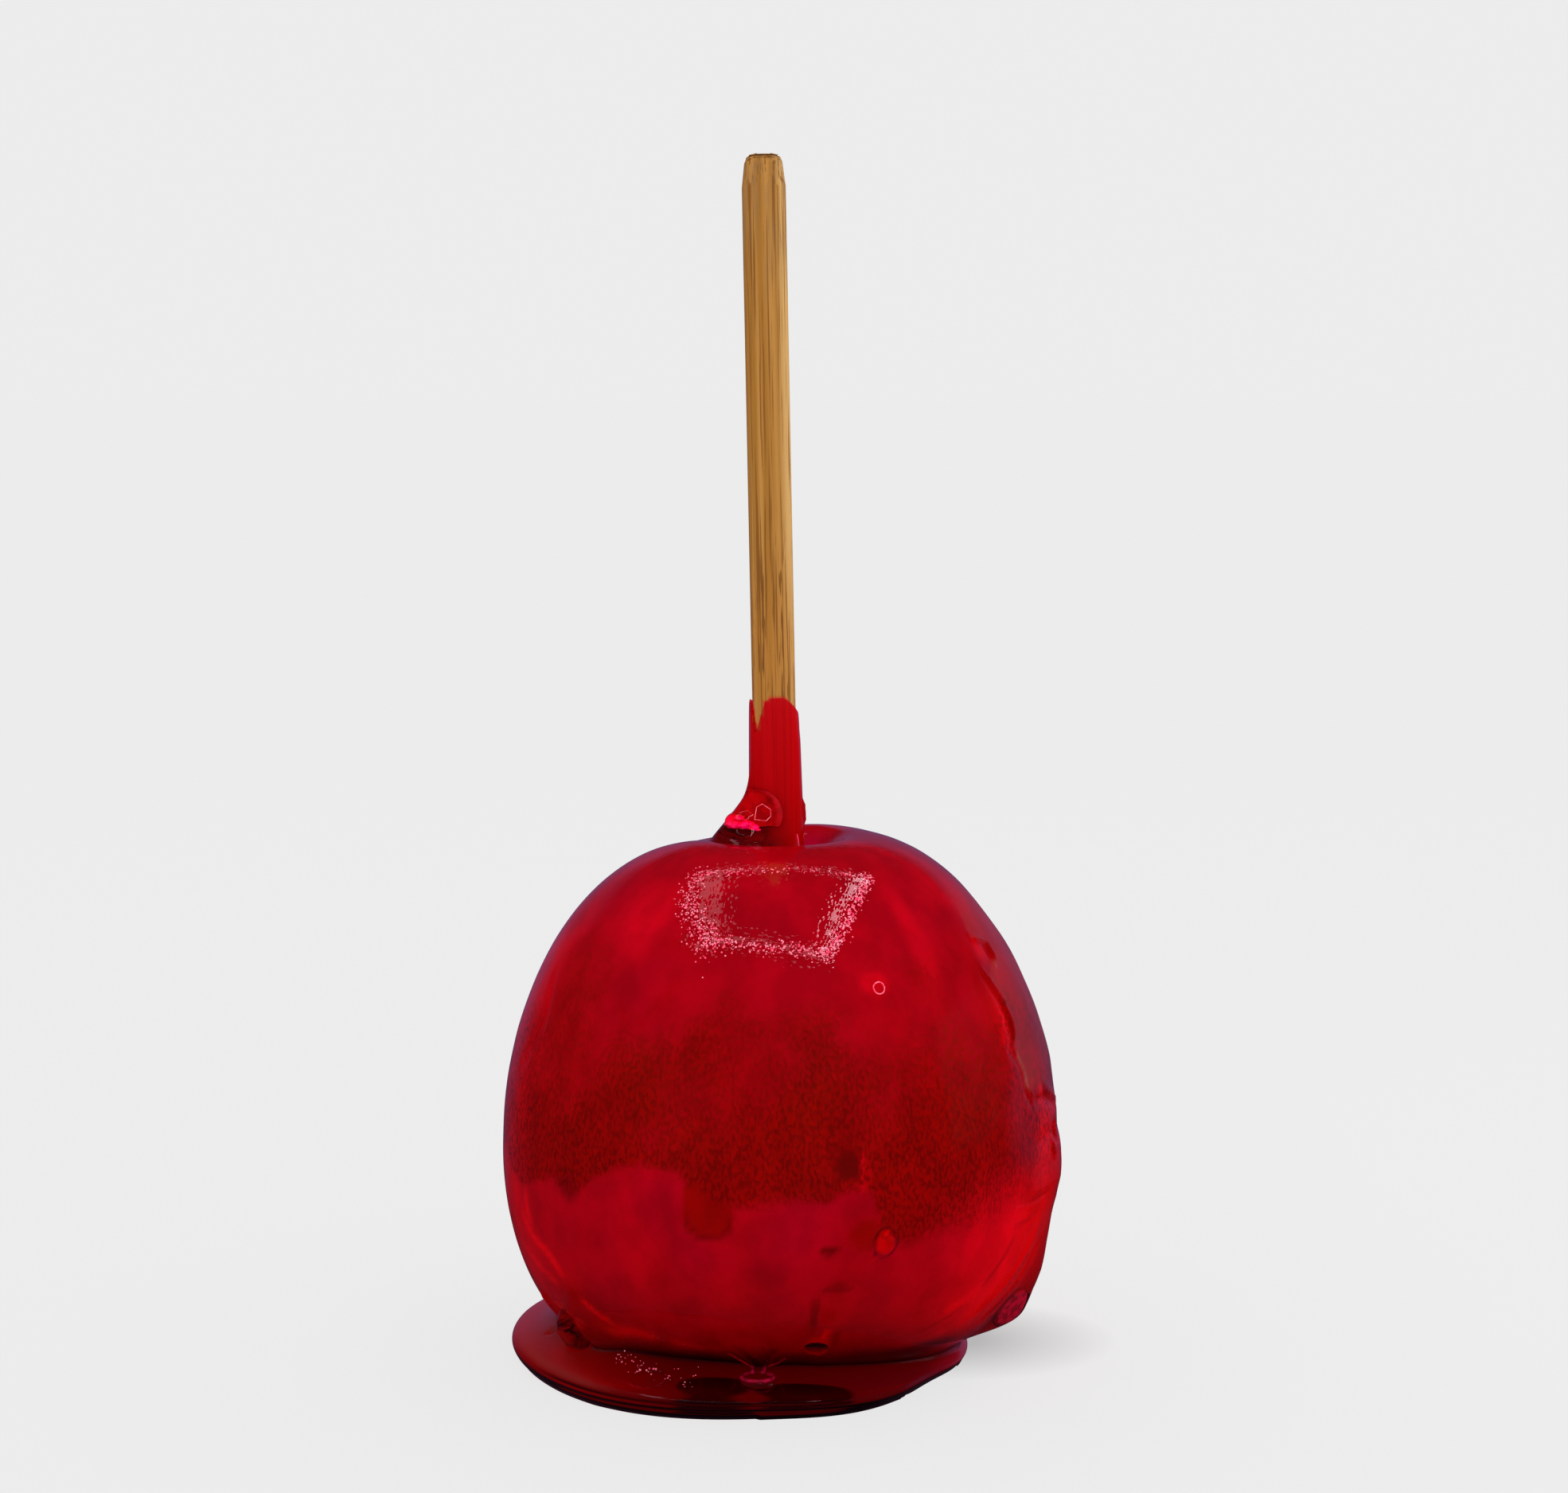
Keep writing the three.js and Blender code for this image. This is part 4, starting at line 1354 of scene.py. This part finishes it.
# Painted shade: the glow is taken away in two ovals in front.
shade_left, shade_right = (oval_on_floor(nodes, links, *oval) for oval in (PAINTED_SHADE_LEFT, PAINTED_SHADE_RIGHT))
dark = combined(nodes, links, "MAXIMUM", shade_left, shade_right)
under = combined(nodes, links, "MULTIPLY", under, ramp(nodes, links, dark, 0, 1, 1, 0))
bounce = ramp(nodes, links, radius, 0.036, 0.06, 0, FLOOR_BOUNCE)
glow_unseen = combined(nodes, links, "MAXIMUM", under, bounce)
glow = nodes.new("ShaderNodeMix")
for socket, value in ((0, seen), (2, glow_unseen), (3, glow_seen)):
    links.new(value, glow.inputs[socket])
links.new(glow.outputs["Result"], shader.inputs["Emission Strength"])
# Painted shade: under the foot the floor's colour is nearly black for rays that don't come from the camera.
outside_foot = ramp(nodes, links, radius, 0.03, 0.045)
unseen = mixed(nodes, links, outside_foot, grey(UNDER_SHARE), grey(OPEN_SHARE))
links.new(mixed(nodes, links, seen, unseen, grey(FLOOR_SHARE)), shader.inputs["Base Color"])
open_floor = nodes.new("ShaderNodeBsdfTransparent")
mirrored = mirrored_rays(nodes, links)
one_or_other(nodes, links, output, mirrored, shader.outputs["BSDF"], open_floor.outputs["BSDF"])
pale.cycles.emission_sampling = "NONE"
floor.data.materials.append(pale)

# %% [markdown]
# The room is even and pale for the camera and for the light that falls on the sweet. Mirrored rays
# see the dark room instead, with its glow low behind, which fades out towards the far left.

# %% Room
world = bpy.data.worlds.new("studio")
bpy.context.scene.world = world
world.use_nodes = True
nodes, links = world.node_tree.nodes, world.node_tree.links
nodes.clear()
output = nodes.new("ShaderNodeOutputWorld")
path = nodes.new("ShaderNodeLightPath")
pale_room = nodes.new("ShaderNodeBackground")
room_light = ramp(nodes, links, path.outputs["Is Camera Ray"], 0, 1, ROOM_LIGHT, BACKDROP)
links.new(room_light, pale_room.inputs["Strength"])
pale_room.inputs["Color"].default_value = grey(1)
dark_room = nodes.new("ShaderNodeBackground")
direction = nodes.new("ShaderNodeTexCoord")
split = nodes.new("ShaderNodeSeparateXYZ")
links.new(direction.outputs["Generated"], split.inputs["Vector"])
glowing = ramp(nodes, links, split.outputs["X"], -0.7, -0.25)
for output_name, start, end in (("Y", 0.3, 0.55), ("Z", -0.3, -0.1), ("Z", 0.4, 0.27)):
    within = ramp(nodes, links, split.outputs[output_name], start, end)
    glowing = combined(nodes, links, "MULTIPLY", glowing, within)
links.new(mixed(nodes, links, glowing, DARK_ROOM, SIDE_GLOW), dark_room.inputs["Color"])
mirrored = mirrored_rays(nodes, links)
one_or_other(
    nodes, links, output, mirrored, pale_room.outputs["Background"], dark_room.outputs["Background"]
)

# %% [markdown]
# Four long lamps make a frame overhead. Its image on the shoulder is the sweet's main highlight: a
# narrow bright bar on the right, a wide dim one on the left, and narrow dim ones in front and behind.
# Each row gives the corners that a lamp joins, its width in metres and its radiance.

# %% The frame of lamps overhead
LAMP_HEIGHT = 0.47
LAMP_COLOUR = (1, 0.66, 0.76)
CORNERS = {"back_left": (-0.141, 0.21), "back_right": (0.187, 0.214),
           "front_right": (0.15, -0.276), "front_left": (-0.211, -0.17)}
LAMPS = (
    ("back_left", "back_right", 0.03, 1.2),
    ("back_right", "front_right", 0.025, 6),
    ("front_right", "front_left", 0.03, 1.3),
    ("front_left", "back_left", 0.06, 1.3),
)
for start, end, width, radiance in LAMPS:
    a, b = Vector((*CORNERS[start], LAMP_HEIGHT)), Vector((*CORNERS[end], LAMP_HEIGHT))
    long = (b - a).length
    turn = math.atan2(b.y - a.y, b.x - a.x)
    bpy.ops.object.light_add(type="AREA", location=(a + b) / 2, rotation=(0, 0, turn))
    lamp = bpy.context.object
    lamp.name = "lamp_" + start
    lamp.data.shape = "RECTANGLE"
    lamp.data.size = long
    lamp.data.size_y = width
    lamp.data.energy = radiance * math.pi * long * width
    lamp.data.color = LAMP_COLOUR
    lamp.visible_camera = False

# %% [markdown]
# One more lamp stands low on the right. It brightens the sugar's right side from within, and is kept
# out of the mirrored picture.

# %% The low lamp on the right
SIDE_LAMP_PLACE = (0.36, 0.0, 0.07)
SIDE_LAMP_SIZE = 0.2
SIDE_LAMP_RADIANCE = 2.5
bpy.ops.object.light_add(type="AREA", location=SIDE_LAMP_PLACE, rotation=(0, math.radians(90), 0))
lamp = bpy.context.object
lamp.name = "lamp_low_right"
lamp.data.size = SIDE_LAMP_SIZE
lamp.data.energy = SIDE_LAMP_RADIANCE * math.pi * SIDE_LAMP_SIZE**2
lamp.visible_camera = False
lamp.visible_glossy = False

# %% Camera
CAMERA_PLACE = (1.24 * MM, -420 * MM, 135 * MM)
CAMERA_TILT = math.radians(6.71)
bpy.ops.object.camera_add(location=CAMERA_PLACE, rotation=(math.pi / 2 - CAMERA_TILT, 0, 0))
camera = bpy.context.object
camera.data.sensor_width = 36
camera.data.lens = 70
camera.data.clip_start = 0.01
bpy.context.scene.camera = camera
bpy.context.scene.view_settings.view_transform = "Standard"
